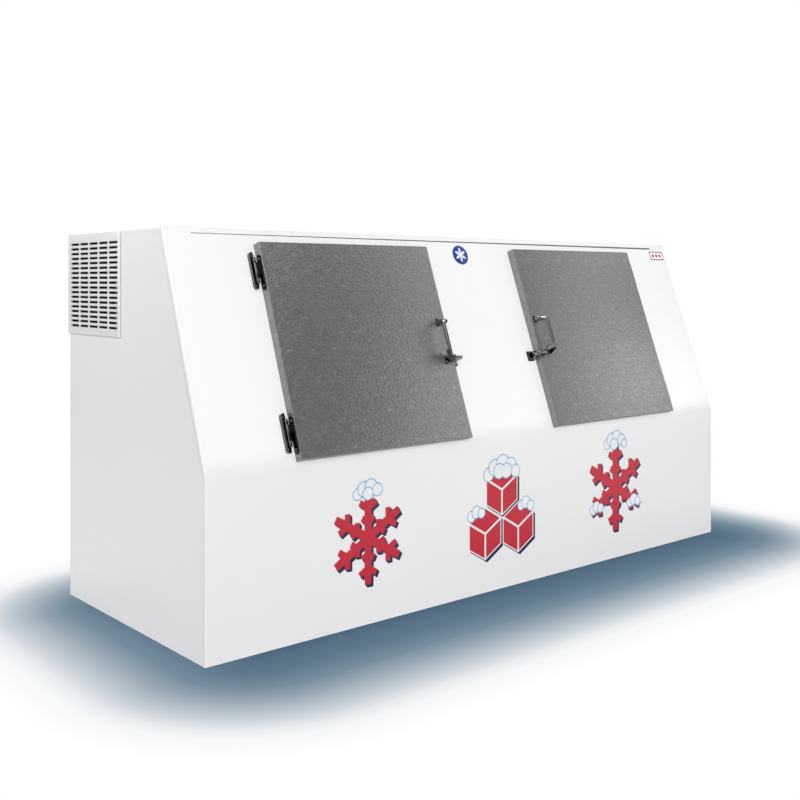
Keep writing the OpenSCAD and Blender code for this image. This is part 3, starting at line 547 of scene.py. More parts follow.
def cut(piece, at, normal, drop=None, fill=False, where=lambda face: True):
    """Cuts the faces that pass the test with a plane, and may drop the side the normal points to."""
    pick(piece, "FACE", where)
    bpy.ops.mesh.bisect(
        plane_co=Vector(at) / 1000, plane_no=normal, use_fill=fill,
        clear_outer=drop == "outer", clear_inner=drop == "inner", threshold=1e-6)
    nothing_selected()


def remove(piece, test):
    pick(piece, "FACE", test)
    bpy.ops.mesh.delete(type="FACE")
    nothing_selected()


def thicken(piece, thickness):
    """Gives an open sheet its thickness, inwards."""
    only(piece)
    sheet = piece.modifiers.new("sheet", "SOLIDIFY")
    sheet.thickness, sheet.offset = thickness / 1000, -1
    bpy.ops.object.modifier_apply(modifier=sheet.name)


def joined(name, pieces):
    """One piece of several, in their order."""
    nothing_selected()
    for piece in pieces:
        piece.select_set(True)
    bpy.context.view_layer.objects.active = pieces[0]
    bpy.ops.object.join()
    piece = bpy.context.object
    piece.name = piece.data.name = name
    return piece


def mended(piece, merge=True):
    """Merges the doubles of a closed piece and turns its faces outwards."""
    only(piece)
    bpy.ops.object.mode_set(mode="EDIT")
    bpy.ops.mesh.select_all(action="SELECT")
    if merge:
        bpy.ops.mesh.remove_doubles(threshold=1e-6)
    bpy.ops.mesh.normals_make_consistent(inside=False)
    nothing_selected()
    return piece


def moved(piece, place):
    """Moves the piece by a matrix. A mirrored one gets its faces turned right again."""
    only(piece)
    piece.matrix_world = place @ piece.matrix_world
    bpy.ops.object.transform_apply(location=True, rotation=True, scale=True)
    return mended(piece, merge=False) if place.determinant() < 0 else piece


def copied(piece, name, place):
    """A copy with its own mesh, moved by a matrix."""
    only(piece)
    bpy.ops.object.duplicate()
    twin = moved(bpy.context.object, place)
    twin.name = twin.data.name = name
    return twin


def shown(piece, slot, body="cabinet", nodes=(), finish=None, angle=35):
    """The piece's shading, material, body, and the frame nodes it stands for."""
    only(piece)
    bpy.ops.object.shade_smooth_by_angle(angle=math.radians(angle))
    piece.data.materials.clear()
    piece.data.materials.append(finish or material(*FINISHES[slot]))
    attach(piece, body)
    if nodes:
        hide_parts(*nodes)


def shown_pair(piece, part, body, slot):
    """A left door's piece and its mirrored twin for the right door, each in the place of its node."""
    twin = copied(piece, "right_" + part + "_piece", MIRROR @ AT_DOOR)
    moved(piece, AT_DOOR)
    piece.name = piece.data.name = "left_" + part + "_piece"
    for side, made in (("left", piece), ("right", twin)):
        shown(made, slot, body.format(side), (f"{side}_{part}",))


def sizes():
    return bpy.context.scene.freezer_sizes


# ---------- the stage ----------


class FREEZER_OT_stage(Operator):
    """Sets up the pale floor, the soft studio light and the camera"""

    bl_idname = "freezer.stage"
    bl_label = "Stage"
    # What only mirror rays see, so that chrome and the doors have something dark to show: each
    # card's place, the point it faces, its width and height in metres, and its grey
    cards = {
        "card_high": ((1.75, -3.35, 4.5), (0, -0.3, 0.9), 3.6, 3.6, 0.04),
        "card_camera": ((-3.5, -3.9, 1.2), (-0.3, -0.45, 0.85), 5.0, 3.6, 0.02),
        "card_front": ((1.2, -5.0, 2.2), (0, -0.4, 0.8), 4.0, 3.0, 0.02),
        "card_right": ((5.0, -0.6, 1.3), (0.5, -0.4, 0.8), 3.0, 2.6, 0.02),
        "card_bright": ((5.5, -2.55, 1.8), (1.0, -0.42, 0.6), 1.0, 0.9, 5.5),
        "card_back_left": ((-3.1, 3.0, 0.55), (-0.9, -0.3, 0.85), 1.6, 1.9, 0.09),
    }
    # The floor's shadow, by the distance in metres from a block inside the footprint
    shadow = {
        0.0: "#4C6679", 0.03: "#536D80", 0.15: "#617A8C", 0.25: "#768D9C", 0.33: "#98A8B4",
        0.41: "#BCC7CF", 0.46: "#D4DADF", 0.5: "#E8ECEF", 0.55: "#F6F8F9", 0.66: "#FFFFFF",
    }
    shadow_middle, shadow_half = (0.045, -0.115, 0), (1.075, 0.325, 1)

    def execute(self, context):
        scene = context.scene
        scene.view_settings.view_transform = "Standard"
        self.camera(scene)
        self.world(scene)
        self.lamps()
        for name, card in self.cards.items():
            self.card(name, *card)
        self.floor()
        return {"FINISHED"}

    def camera(self, scene):
        nothing_selected()
        level = (math.pi / 2, 0, math.radians(-40.47))
        bpy.ops.object.camera_add(location=(-2.632, -2.9326, 1.036), rotation=level)
        eye = bpy.context.object
        eye.name = "camera"
        eye.data.lens = 47.4
        eye.data.sensor_width = 36
        eye.data.shift_y = -0.147
        eye.data.clip_end = 200
        scene.camera = eye

    def seen(self, tree):
        """1 for camera, mirror and see-through rays, which show the white background."""
        rays = add(tree, "LightPath", out=None).outputs
        first = add(tree, "Math", [rays["Is Camera Ray"], rays["Is Glossy Ray"]], operation="MAXIMUM")
        return add(tree, "Math", [first, rays["Is Transmission Ray"]], operation="MAXIMUM")

    def world(self, scene):
        scene.world = bpy.data.worlds.new("studio")
        scene.world.use_nodes = True
        tree = scene.world.node_tree
        tree.nodes.clear()
        strength = add(tree, "MapRange", {0: self.seen(tree), 3: 0.27, 4: 1.0})
        back = add(tree, "Background", {"Color": (1, 1, 1, 1), "Strength": strength})
        add(tree, "OutputWorld", {"Surface": back}, None)

    def sun(self, name, towards, power, soft):
        """A distant soft lamp: it lights all of the cabinet alike, from the direction it stands in."""
        nothing_selected()
        turn = Vector(towards).to_track_quat("Z", "Y").to_euler()
        bpy.ops.object.light_add(type="SUN", location=Vector(towards) * 8, rotation=turn)
        lamp = bpy.context.object
        lamp.name = name
        lamp.data.energy = power
        lamp.data.angle = math.radians(soft)
        return lamp

    def lamps(self):
        """A soft lamp beside the camera, and an even light from above that throws no shadow."""
        self.sun("key_softbox", (-0.58, -0.74, 0.34), 1.48, 30).visible_glossy = False
        self.sun("top_light", (0, 0, 1), 3.12, 30).data.use_shadow = False
        fill = self.sun("end_fill", (-1, 0, 1), 0, 0)
        fill.data.type = "AREA"
        fill.data.size, fill.data.energy = 0.5, 0.85
        fill.location = (-1.75, 0.0, 1.35)

    def card(self, name, place, aim, wide, high, grey):
        nothing_selected()
        place, aim = Vector(place), Vector(aim)
        turn = (aim - place).to_track_quat("Z", "Y").to_euler()
        bpy.ops.mesh.primitive_plane_add(size=1, location=place, rotation=turn)
        bpy.ops.transform.resize(value=(wide, high, 1), orient_type="LOCAL")
        card = settled(name)
        made, tree = bare_material(name)
        glow = add(tree, "Emission", {"Color": (grey, grey, grey, 1), "Strength": 1.0})
        add(tree, "OutputMaterial", {"Surface": glow}, None)
        card.data.materials.append(made)
        card.visible_camera = card.visible_diffuse = card.visible_shadow = False
        card.visible_transmission = False

    def floor(self):
        """White studio paper, with the cabinet's soft blue-grey shadow round its foot."""
        nothing_selected()
        bpy.ops.mesh.primitive_plane_add(size=60, location=(0, 0, -0.0005))
        floor = settled("floor")
        made, tree = bare_material("studio_floor")
        away = add(tree, "TexCoord", out="Object")
        steps = {"SUBTRACT": self.shadow_middle, "ABSOLUTE": (0, 0, 0)}
        for step, value in (*steps.items(), ("SUBTRACT", self.shadow_half), ("MAXIMUM", (0, 0, 0))):
            away = add(tree, "VectorMath", [away, value], operation=step)
        away = add(tree, "VectorMath", [away], "Value", operation="LENGTH")
        ramp = add(tree, "ValToRGB", [away], None)
        stops = ramp.color_ramp.elements
        stops.remove(stops[1])
        for at, colour in self.shadow.items():
            stop = stops.new(at) if at else stops[0]
            stop.position, stop.color = at, linear(colour)
        glow = add(tree, "Emission", {"Color": ramp.outputs[0], "Strength": 1.0})
        paper = add(tree, "BsdfDiffuse", {"Color": (0.47, 0.47, 0.475, 1)})
        mix = add(tree, "MixShader", [self.seen(tree), paper, glow])
        add(tree, "OutputMaterial", {"Surface": mix}, None)
        floor.data.materials.append(made)


# ---------- the cabinet ----------


def on_slant(face):
    return face.normal.dot(OFF_SLANT) > 0.999


class FREEZER_OT_cabinet(Operator):
    """Folds the front skin, the end panels and the roof cap"""

    bl_idname = "freezer.cabinet"
    bl_label = "Cabinet"

    def execute(self, context):
        self.front_skin()
        self.end_panel("left_end_piece", LEFT_END, -1)
        self.end_panel("right_end_piece", RIGHT_END, 1)
        self.roof_cap()
        self.lip_seam()
        return {"FINISHED"}

    def front_skin(self):
        """One sheet for the upright front and the slant, wrapped on to both ends."""
        s = sizes()
        proud = 0.8
        outer = (RIGHT_END + proud, BACK_WALL, SHELL_TOP)
        skin = block("front_skin", (LEFT_END - proud, FRONT_WALL, 0), outer)
        cut(skin, AT_KINK, OFF_SLANT, "outer", True)
        remove(skin, lambda f: f.normal.y > 0.9 or abs(f.normal.z) > 0.9)
        ends = lambda f: abs(f.normal.x) > 0.9
        # A mitre from the kink, then the flange's rear edge in two cuts
        mitre = (Vector((0, 0, 1)) + UP_SLANT).normalized()
        cut(skin, AT_KINK, mitre, where=ends)
        flange_y, flange_depth = FRONT_WALL + s.flange * 800, s.flange * 1150
        depth = lambda item: (middle(item) - AT_KINK).dot(OFF_SLANT)
        low_end = lambda f: ends(f) and middle(f).z < KINK - 50
        high_end = lambda f: ends(f) and middle(f).z > KINK + 50
        cut(skin, (0, flange_y, 0), (0, 1, 0), where=low_end)
        cut(skin, AT_KINK - OFF_SLANT * flange_depth, OFF_SLANT, where=high_end)
        remove(skin, lambda f: ends(f) and middle(f).y > FRONT_WALL + 20 and depth(f) < -20)
        round_off(skin, s.fold * 1000, 4)
        # The flange's rear edge is drawn in against the end panel
        rear = lambda v: near(middle(v).y, flange_y, 0.5) or near(depth(v), -flange_depth, 0.5)
        for way in (-1, 1):
            pick(skin, "VERT", lambda v: rear(v) and v.co.x * way > abs(LEFT_END) / 1000)
            bpy.ops.transform.translate(value=(-way * 0.00095, 0, 0))
        nothing_selected()
        self.doorways(skin)
        thicken(skin, s.skin * 1000)
        shown(skin, "cabinet_enamel", nodes=("front_panel", "slant_panel"))

    def doorways(self, skin):
        low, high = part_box("left_breaker_frame")
        sides = [x * 1000 for x in (low.x, high.x, -high.x, -low.x)]
        for x in sides:
            cut(skin, (x, 0, 0), (1, 0, 0), where=on_slant)
        for rise in (DOORWAY_FOOT, DOORWAY_HEAD):
            cut(skin, AT_KINK + UP_SLANT * rise, UP_SLANT, where=on_slant)

        def in_doorway(face):
            at = middle(face)
            high = DOORWAY_FOOT < (at - AT_KINK).dot(UP_SLANT) < DOORWAY_HEAD
            beside = sides[0] < at.x < sides[1] or sides[2] < at.x < sides[3]
            return on_slant(face) and high and beside

        remove(skin, in_doorway)

    def end_panel(self, name, x, way):
        """A flat sheet, with the machine compartment's window in the left one."""
        inner, outer = sorted((x - way * 5, x - way * 0.3))
        panel = block(name, (inner, FRONT_WALL + 2, 0), (outer, BACK_WALL, SHELL_TOP))
        remove(panel, lambda f: f.normal.x * way < 0.9)
        cut(panel, (0, FRONT_WALL + 2, KINK), OFF_SLANT, "outer")
        if way < 0:
            low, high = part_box("grille_cover")
            front, back = low.y * 1000 + 7, high.y * 1000 - 18
            foot, head = low.z * 1000 + 17, high.z * 1000 - 27
            for y in (front, back):
                cut(panel, (0, y, 0), (0, 1, 0))
            for z in (foot, head):
                cut(panel, (0, 0, z), (0, 0, 1))
            remove(panel, lambda f: front < middle(f).y < back and foot < middle(f).z < head)
        thicken(panel, 0.6)
        node = "left_end_panel" if way < 0 else "right_end_panel"
        shown(panel, "cabinet_enamel", nodes=(node,))

    def roof_cap(self):
        """Lid with a deep front lip and shallow lips on the ends and the back."""
        low, high = (v * 1000 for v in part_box("roof_cap"))
        cap = block("roof_cap_piece", low, high)
        cut(cap, AT_KINK + OFF_SLANT, OFF_SLANT, "outer", True)
        remove(cap, lambda f: f.normal.z < -0.9)
        ends_and_back = lambda f: abs(f.normal.x) > 0.9 or f.normal.y > 0.9
        cut(cap, (0, 0, high.z - 12), (0, 0, 1), "inner", where=ends_and_back)
        round_off(cap, 2.5, 3)
        thicken(cap, 0.9)
        shown(cap, "cabinet_enamel", nodes=("roof_cap",))

    def lip_seam(self):
        """Dark strip painted as the shadow in the gap under the front lip, thinning out at its left
        end.
        """
        low = (LEFT_END + SEAM_INSET, SEAM_TOP - 6.5, 0)
        seam = block("lip_seam", low, (RIGHT_END - SEAM_INSET, SEAM_TOP, 0.9))
        pick(seam, "VERT", lambda v: v.co.x < 0 and v.co.y * 1000 < SEAM_TOP - 2)
        bpy.ops.transform.translate(value=(0, 0.0045, 0))
        nothing_selected()
        round_off(seam, 0.35, 2)
        moved(seam, ON_SLANT)
        shown(seam, "gasket", finish=material("seam_sealant", seam_sealant))


class FREEZER_OT_grille(Operator):
    """Presses the slotted intake cover on the left end"""

    bl_idname = "freezer.grille"
    bl_label = "Grille cover"

    def execute(self, context):
        s = sizes()
        low, high = (v * 1000 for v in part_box("grille_cover"))
        cover = block("grille_cover_piece", low, (high.x, high.y, high.z - 0.6))
        remove(cover, lambda f: f.normal.x > 0.9)
        face = lambda f: f.normal.x < -0.9
        rows, columns = s.slot_rows, s.slot_columns
        first_y, step_y, slot_y = low.y + 8, 70.5, 59.5
        first_z, step_z, slot_z = high.z - 36.5, 15.53, 7.6
        for c in range(columns):
            for y in (first_y + c * step_y, first_y + c * step_y + slot_y):
                cut(cover, (0, y, 0), (0, 1, 0), where=face)
        for r in range(rows):
            for z in (first_z - r * step_z - slot_z / 2, first_z - r * step_z + slot_z / 2):
                cut(cover, (0, 0, z), (0, 0, 1), where=face)
        last_y, last_z = first_y + columns * step_y, first_z - rows * step_z + step_z / 2

        def in_slot(f):
            at = middle(f)
            across = first_y < at.y < last_y and (at.y - first_y) % step_y < slot_y
            from_row = (at.z - first_z + step_z / 2) % step_z - step_z / 2
            up = last_z < at.z < first_z + slot_z and abs(from_row) < slot_z / 2
            return face(f) and across and up

        remove(cover, in_slot)
        outer = lambda e: sharp(e) and (runs(e, 0) or any(face(f) for f in e.link_faces))
        round_off(cover, 3, 4, outer)
        thicken(cover, 1.4)
        shown(cover, "grille_enamel", nodes=("grille_cover",))
        return {"FINISHED"}


# ---------- doors ----------


class FREEZER_OT_doors(Operator):
    """Folds the two door pans and fits their gaskets"""

    bl_idname = "freezer.doors"
    bl_label = "Doors"

    def execute(self, context):
        self.pan()
        self.gasket()
        return {"FINISHED"}

    def pan(self):
        fold = sizes().door_fold * 1000
        pan = block("left_door_skin_piece", (0, 0, DOOR_BACK), (DOOR_WIDE, DOOR_HIGH, DOOR_FACE))
        round_off(pan, fold, 4, lambda e: sharp(e) and middle(e).z > DOOR_BACK + 1)
        # The rear edge is turned in under the pan as a hem
        pick(pan, "FACE", lambda f: f.normal.z < -0.9)
        bpy.ops.mesh.inset(thickness=0.012)
        bpy.ops.mesh.delete(type="FACE")
        nothing_selected()
        hem = lambda e: sharp(e) and near(middle(e).z, DOOR_BACK) and not e.is_boundary
        round_off(pan, 1.2, 3, hem)
        thicken(pan, 1.0)
        shown_pair(pan, "door_skin", "{}_door", "door_sheet")

    def gasket(self):
        ring = block("left_door_gasket_piece", (1, 1, 0.3), (DOOR_WIDE - 1, DOOR_HIGH - 1, DOOR_BACK))
        for side in (1, -1):
            pick(ring, "FACE", lambda f: f.normal.z * side > 0.9)
            bpy.ops.mesh.inset(thickness=0.020)
            nothing_selected()
        inner = lambda f: abs(f.normal.z) > 0.9 and 60 < middle(f).x < 620 and 60 < middle(f).y < 600
        pick(ring, "FACE", inner)
        bpy.ops.mesh.bridge_edge_loops()
        nothing_selected()
        round_off(ring, 1.8, 4, lambda e: sharp(e) and near(middle(e).z, 0.3))
        shown_pair(ring, "door_gasket", "{}_door", "gasket")


# ---------- hinges ----------


class FREEZER_OT_hinges(Operator):
    """Casts the four strap hinges with their raised rims, knuckles and pins"""

    bl_idname = "freezer.hinges"
    bl_label = "Hinges"
    axis = (-13.5, 11)
    leaf_x, half = LEAF_X, 59

    def execute(self, context):
        for part, make in (("hinge_frame_leaves", self.frame_leaf), ("hinge_pins", self.pin)):
            shown(self.four(part + "_piece", make()), "chrome", nodes=(part,))
        leaves = self.pair(self.door_leaf())
        twin = copied(leaves, "right_hinge_door_leaves_piece", MIRROR)
        leaves.name = leaves.data.name = "left_hinge_door_leaves_piece"
        shown(leaves, "chrome", "left_door", ("left_hinge_door_leaves",))
        shown(twin, "chrome", "right_door", ("right_hinge_door_leaves",))
        return {"FINISHED"}

    def pair(self, leaf):
        """The leaf at both hinges of the left door."""
        low, high = (AT_DOOR @ Matrix.Translation((0, y / 1000, 0)) for y in HINGES)
        other = copied(leaf, "upper", high)
        return joined("pair", [moved(leaf, low), other])

    def four(self, name, leaf):
        pair = self.pair(leaf)
        return joined(name, [pair, copied(pair, "twin", MIRROR)])

    def knuckle(self, y0, y1):
        barrel = bar("knuckle", (self.axis[0], y0, self.axis[1]), (self.axis[0], y1, self.axis[1]), 5)
        round_off(barrel, 0.7, 2)
        return barrel

    def obround(self, name, height):
        x, wide = self.leaf_x, 20
        low, high = (x - wide / 2, -self.half, 0), (x + wide / 2, self.half, height)
        plate = block(name, low, high)
        round_off(plate, wide / 2 - 0.2, 10, lambda e: runs(e, 2))
        return plate

    def frame_leaf(self):
        base = self.obround("base", 3)
        round_off(base, 0.8, 2, lambda e: sharp(e, 1.0) and middle(e).z > 2.9)
        rim = self.obround("rim", 10)
        pick(rim, "FACE", lambda f: f.normal.z > 0.9)
        bpy.ops.mesh.inset(thickness=0.0035)
        bpy.ops.mesh.extrude_region_move(TRANSFORM_OT_translate={"value": (0, 0, -0.0066)})
        nothing_selected()
        cut(rim, (-14, 0, 0), (1, 0, 0), "outer", True)
        round_off(rim, 0.9, 3, lambda e: sharp(e, 1.0) and middle(e).z > 9.5)
        parts = [base, rim]
        for y0, y1 in ((25.5, 40), (-40, -25.5)):
            post = block("post", (self.leaf_x, y0, 0), (self.leaf_x + 8, y1, self.axis[1]))
            round_off(post, 0.7, 2, lambda e: sharp(e) and middle(e).z > 1)
            parts += [post, self.knuckle(y0, y1)]
        return joined("frame_leaf", parts)

    def door_leaf(self):
        plate = block("plate", (-2.5, -66, 6), (0, 46, 30))
        round_off(plate, 11.6, 8, lambda e: runs(e, 0))
        round_off(plate, 0.8, 2, lambda e: sharp(e, 1.0) and middle(e).x < -2)
        arm = block("arm", (-13.5, -25, 8), (-1.25, 25, 14))
        round_off(arm, 0.8, 2)
        return joined("door_leaf", [plate, arm, self.knuckle(-25, 25)])

    def pin(self):
        """Pin with a short rounded head at each end."""
        x, z = self.axis
        parts = [bar("shaft", (x, -40, z), (x, 40, z), 3)]
        for y0, y1 in ((-42, -40), (40, 42)):
            head = bar("head", (x, y0, z), (x, y1, z), 4.5, 24)
            round_off(head, 1.0, 4, lambda e: sharp(e, 1.0) and near(abs(middle(e).y), 42, 0.4))
            parts.append(head)
        return joined("pin", parts)


# ---------- handles ----------


class FREEZER_OT_handles(Operator):
    """Bends the two latch handles and makes their feet, pins, springs and strikes"""

    bl_idname = "freezer.handles"
    bl_label = "Handles"
    ear_in, ear_out = 639.5, 672.5
    pivot = (PIVOT_Y, 48)

    def execute(self, context):
        shown_pair(self.handle(), "handle", "{}_latch_handle", "chrome")
        shown_pair(self.feet(), "handle_feet", "{}_door", "chrome")
        shown_pair(self.pin(), "handle_pin", "{}_door", "chrome")
        shown_pair(self.spring(), "latch_spring", "{}_door", "zinc")
        shown_pair(self.strike(), "strike", "cabinet", "chrome")
        return {"FINISHED"}

    def bow(self, points, radius, bend_r):
        """A round rod along points, with a spun bend at each inner one."""
        nothing_selected()
        way = (points[1] - points[0]).normalized()
        bpy.ops.mesh.primitive_circle_add(
            vertices=20, radius=radius / 1000, fill_type="NGON",
            location=points[0] / 1000, rotation=way.to_track_quat("Z", "Y").to_euler())
        rod = settled("bow")
        pick(rod, "FACE", lambda f: True)
        at = points[0]
        for i in range(1, len(points)):
            way = (points[i] - points[i - 1]).normalized()
            last = i == len(points) - 1
            turn = 0 if last else way.angle((points[i + 1] - points[i]).normalized())
            stop = points[i] - way * bend_r * math.tan(turn / 2)
            bpy.ops.mesh.extrude_region_move(TRANSFORM_OT_translate={"value": (stop - at) / 1000})
            at = stop
            if not last:
                after = (points[i + 1] - points[i]).normalized()
                inward = (after - way * after.dot(way)).normalized()
                centre = at + inward * bend_r
                axis = way.cross(after).normalized()
                bpy.ops.mesh.spin(steps=8, angle=-turn, center=centre / 1000, axis=axis)
                at = points[i] + after * bend_r * math.tan(turn / 2)
        nothing_selected()
        return mended(rod)

    def handle(self):
        """Eye on the pin, a bent grip bar, and a lever that turns under it into the nose."""
        y, z = self.pivot
        eye = bar("eye", (650, y, z), (662, y, z), 8)
        round_off(eye, 1, 3)
        rod = self.bow([Vector(p) for p in ((656, y, z), (639, y - 8, 69), (639, y - 108, 69))], 6, 12)
        lever = block("lever", (632, LATCH - 11, 42), (662, LATCH + 27, 76))
        for at, away in (
            ((662, LATCH + 11, 42), (1, 1, 0)), ((632, LATCH + 13, 42), (-24, -20, 0)),
            ((648, LATCH - 11, 42), (-20, 0, -16)), ((662, LATCH - 11, 54), (22, 0, 16)),
        ):
            cut(lever, at, away, "outer", True)
        round_off(lever, 1.6, 3, lambda e: sharp(e, 0.3))
        nose = block("nose", (656, LATCH - 6, 42), (702, LATCH + 6, 54))
        round_off(nose, 2.5, 4)
        return joined("handle", [eye, rod, lever, nose])

    def feet(self):
        y, z = self.pivot
        parts = []
        upper, lower = (self.ear_in, y - 14, self.ear_out, y + 14), (640, LATCH - 16, 680, LATCH + 16)
        for x0, y0, x1, y1 in (upper, lower):
            plate = block("plate", (x0, y0, DOOR_FACE), (x1, y1, DOOR_FACE + 2.5))
            round_off(plate, 4, 5, lambda e: runs(e, 2))
            round_off(plate, 0.7, 2, lambda e: sharp(e, 1.0) and middle(e).z > DOOR_FACE + 2)
            parts.append(plate)
        for ear_x in (self.ear_in, self.ear_out - 3):
            ear = block("ear", (ear_x, y - 7, DOOR_FACE + 2), (ear_x + 3, y + 7, z + 7))
            round_off(ear, 6.8, 6, lambda e: runs(e, 0) and middle(e).z > 50)
            parts.append(ear)
        for rail_y in (LATCH - 11, LATCH + 8):
            rail = block("rail", (665, rail_y, DOOR_FACE + 2), (680, rail_y + 3, DOOR_FACE + 19.5))
            round_off(rail, 4, 4, lambda e: runs(e, 1) and middle(e).z > 50)
            parts.append(rail)
        for part in parts[2:]:
            round_off(part, 0.6, 2, lambda e: sharp(e, 1.0))
        return joined("feet", parts)

    def pin(self):
        y, z = self.pivot
        parts = [bar("shaft", (self.ear_in, y, z), (self.ear_out, y, z), 3, 24)]
        for x0, x1 in ((self.ear_in - 1.5, self.ear_in), (self.ear_out, self.ear_out + 1.5)):
            head = bar("head", (x0, y, z), (x1, y, z), 4.5, 24)
            round_off(head, 0.7, 3)
            parts.append(head)
        return joined("pin", parts)

    def spring(self):
        """Three close turns of wire, spun round the pin, and a leg down to the foot."""
        y, z = self.pivot
        wire, reach = 0.65, 4.9
        x0 = 662.5 + wire
        nothing_selected()
        bpy.ops.mesh.primitive_circle_add(
            vertices=8, radius=wire / 1000, fill_type="NOTHING",
            location=(x0 / 1000, y / 1000, (z - reach) / 1000), rotation=(math.pi / 2, 0, 0))
        coil = settled("coil")
        turned = coil.modifiers.new("turns", "SCREW")
        turned.axis, turned.angle = "X", 2 * math.pi * 3
        turned.screw_offset = 2 * wire * 3 / 1000
        turned.steps = turned.render_steps = 72
        # The turns run round the pin, so the ring is put about the origin first
        centre = Vector((0, y, z)) / 1000
        coil.data.transform(Matrix.Translation(-centre))
        only(coil)
        bpy.ops.object.modifier_apply(modifier=turned.name)
        coil.data.transform(Matrix.Translation(centre))
        bpy.ops.object.mode_set(mode="EDIT")
        bpy.ops.mesh.select_all(action="SELECT")
        bpy.ops.mesh.remove_doubles(threshold=1e-6)
        bpy.ops.mesh.select_all(action="DESELECT")
        bpy.ops.mesh.select_non_manifold()
        bpy.ops.mesh.edge_face_add()
        mended(coil)
        leg = bar("leg", (x0, y - reach, DOOR_FACE + 2.5), (x0, y - reach, z - 1), wire, 12)
        round_off(leg, 0.2, 2)
        return joined("spring", [coil, leg])

    def strike(self):
        """Keeper plate with two ramps and a tooth between them."""
        plate = block("plate", (688, LATCH - 18, 0), (720, LATCH + 18, 3))
        round_off(plate, 3, 4, lambda e: runs(e, 2))
        parts = [plate]
        for y0 in (LATCH - 13.5, LATCH + 10.5):
            ramp = block("ramp", (690, y0, 2), (718, y0 + 3, 24))
            cut(ramp, (698, 0, 24), (19, 0, 20), "outer", True)
            parts.append(ramp)
        parts.append(block("tooth", (694, LATCH - 6, 2), (702, LATCH + 6, 40)))
        for part in parts:
            round_off(part, 0.7, 2, lambda e: sharp(e, 0.6))
        return joined("strike", parts)


class FREEZER_OT_screws(Operator):
    """Drives the cross-recessed pan-head screws"""

    bl_idname = "freezer.screws"
    bl_label = "Screws"

    def execute(self, context):
        screw = self.one()
        straight = Matrix.Identity(4)
        back, aside = (Matrix.Rotation(-math.pi / 2, 4, axis) for axis in "XY")
        at = lambda x, y, z, turn=straight: Matrix.Translation(Vector((x, y, z)) / 1000) @ turn
        beside_door = [AT_DOOR @ at(LEAF_X, y + dy, 3) for y in HINGES for dy in (-49, 49)]
        beside_door += [AT_DOOR @ at(712, LATCH + dy, 3) for dy in (-5.5, 5.5)]
        low, high = (v * 1000 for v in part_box("rear_louver"))
        places = [side @ p for side in (straight, MIRROR) for p in beside_door]
        corners = [(x, z) for x in (low.x + 8, high.x - 8) for z in (low.z + 8, high.z - 8)]
        places += [at(x, high.y, z, back) for x, z in corners]
        self.driven("cabinet", screw, places)
        own = [AT_DOOR @ at(-2.5, y + dy, 18, aside) for y in HINGES for dy in (-52, 32)]
        own += [AT_DOOR @ at(656, PIVOT_Y + dy, 34.5) for dy in (-9.5, 9.5)]
        own += [AT_DOOR @ at(647, LATCH + dy, 34.5) for dy in (-10, 10)]
        self.driven("left_door", screw, own)
        self.driven("right_door", screw, [MIRROR @ p for p in own])
        bpy.data.objects.remove(screw)
        return {"FINISHED"}

    def one(self):
        """Pan head with a cross recess, and its shank."""
        head = bar("screw", (0, 0, 0), (0, 0, 2), 4.2, 24)
        round_off(head, 1.3, 4, lambda e: sharp(e, 1.0) and middle(e).z > 1.9)
        for turn in (0, 90):
            slot = block("slot", (-2.2, -0.45, 0.9), (2.2, 0.45, 3))
            moved(slot, Matrix.Rotation(math.radians(turn), 4, "Z"))
            only(head)
            recess = head.modifiers.new("recess", "BOOLEAN")
            recess.object, recess.operation, recess.solver = slot, "DIFFERENCE", "EXACT"
            bpy.ops.object.modifier_apply(modifier=recess.name)
            bpy.data.objects.remove(slot)
        shank = bar("shank", (0, 0, -8), (0, 0, 0.2), 1.9, 12)
        round_off(shank, 0.6, 1, lambda e: sharp(e, 1.0) and middle(e).z < -7)
        return joined("screw", [head, shank])

    def driven(self, body, screw, places):
        """A body's screws, one copy at each place."""
        part = body + "_screws"
        screws = joined(part + "_piece", [copied(screw, "copy", place) for place in places])
        shown(screws, "zinc", body, (part,), material("screw_zinc", screw_zinc))


# ---------- printed film ----------


def scaled(points, middle_point, factor):
    u, w = middle_point
    return [(u + (p[0] - u) * factor, w + (p[1] - w) * factor) for p in points]


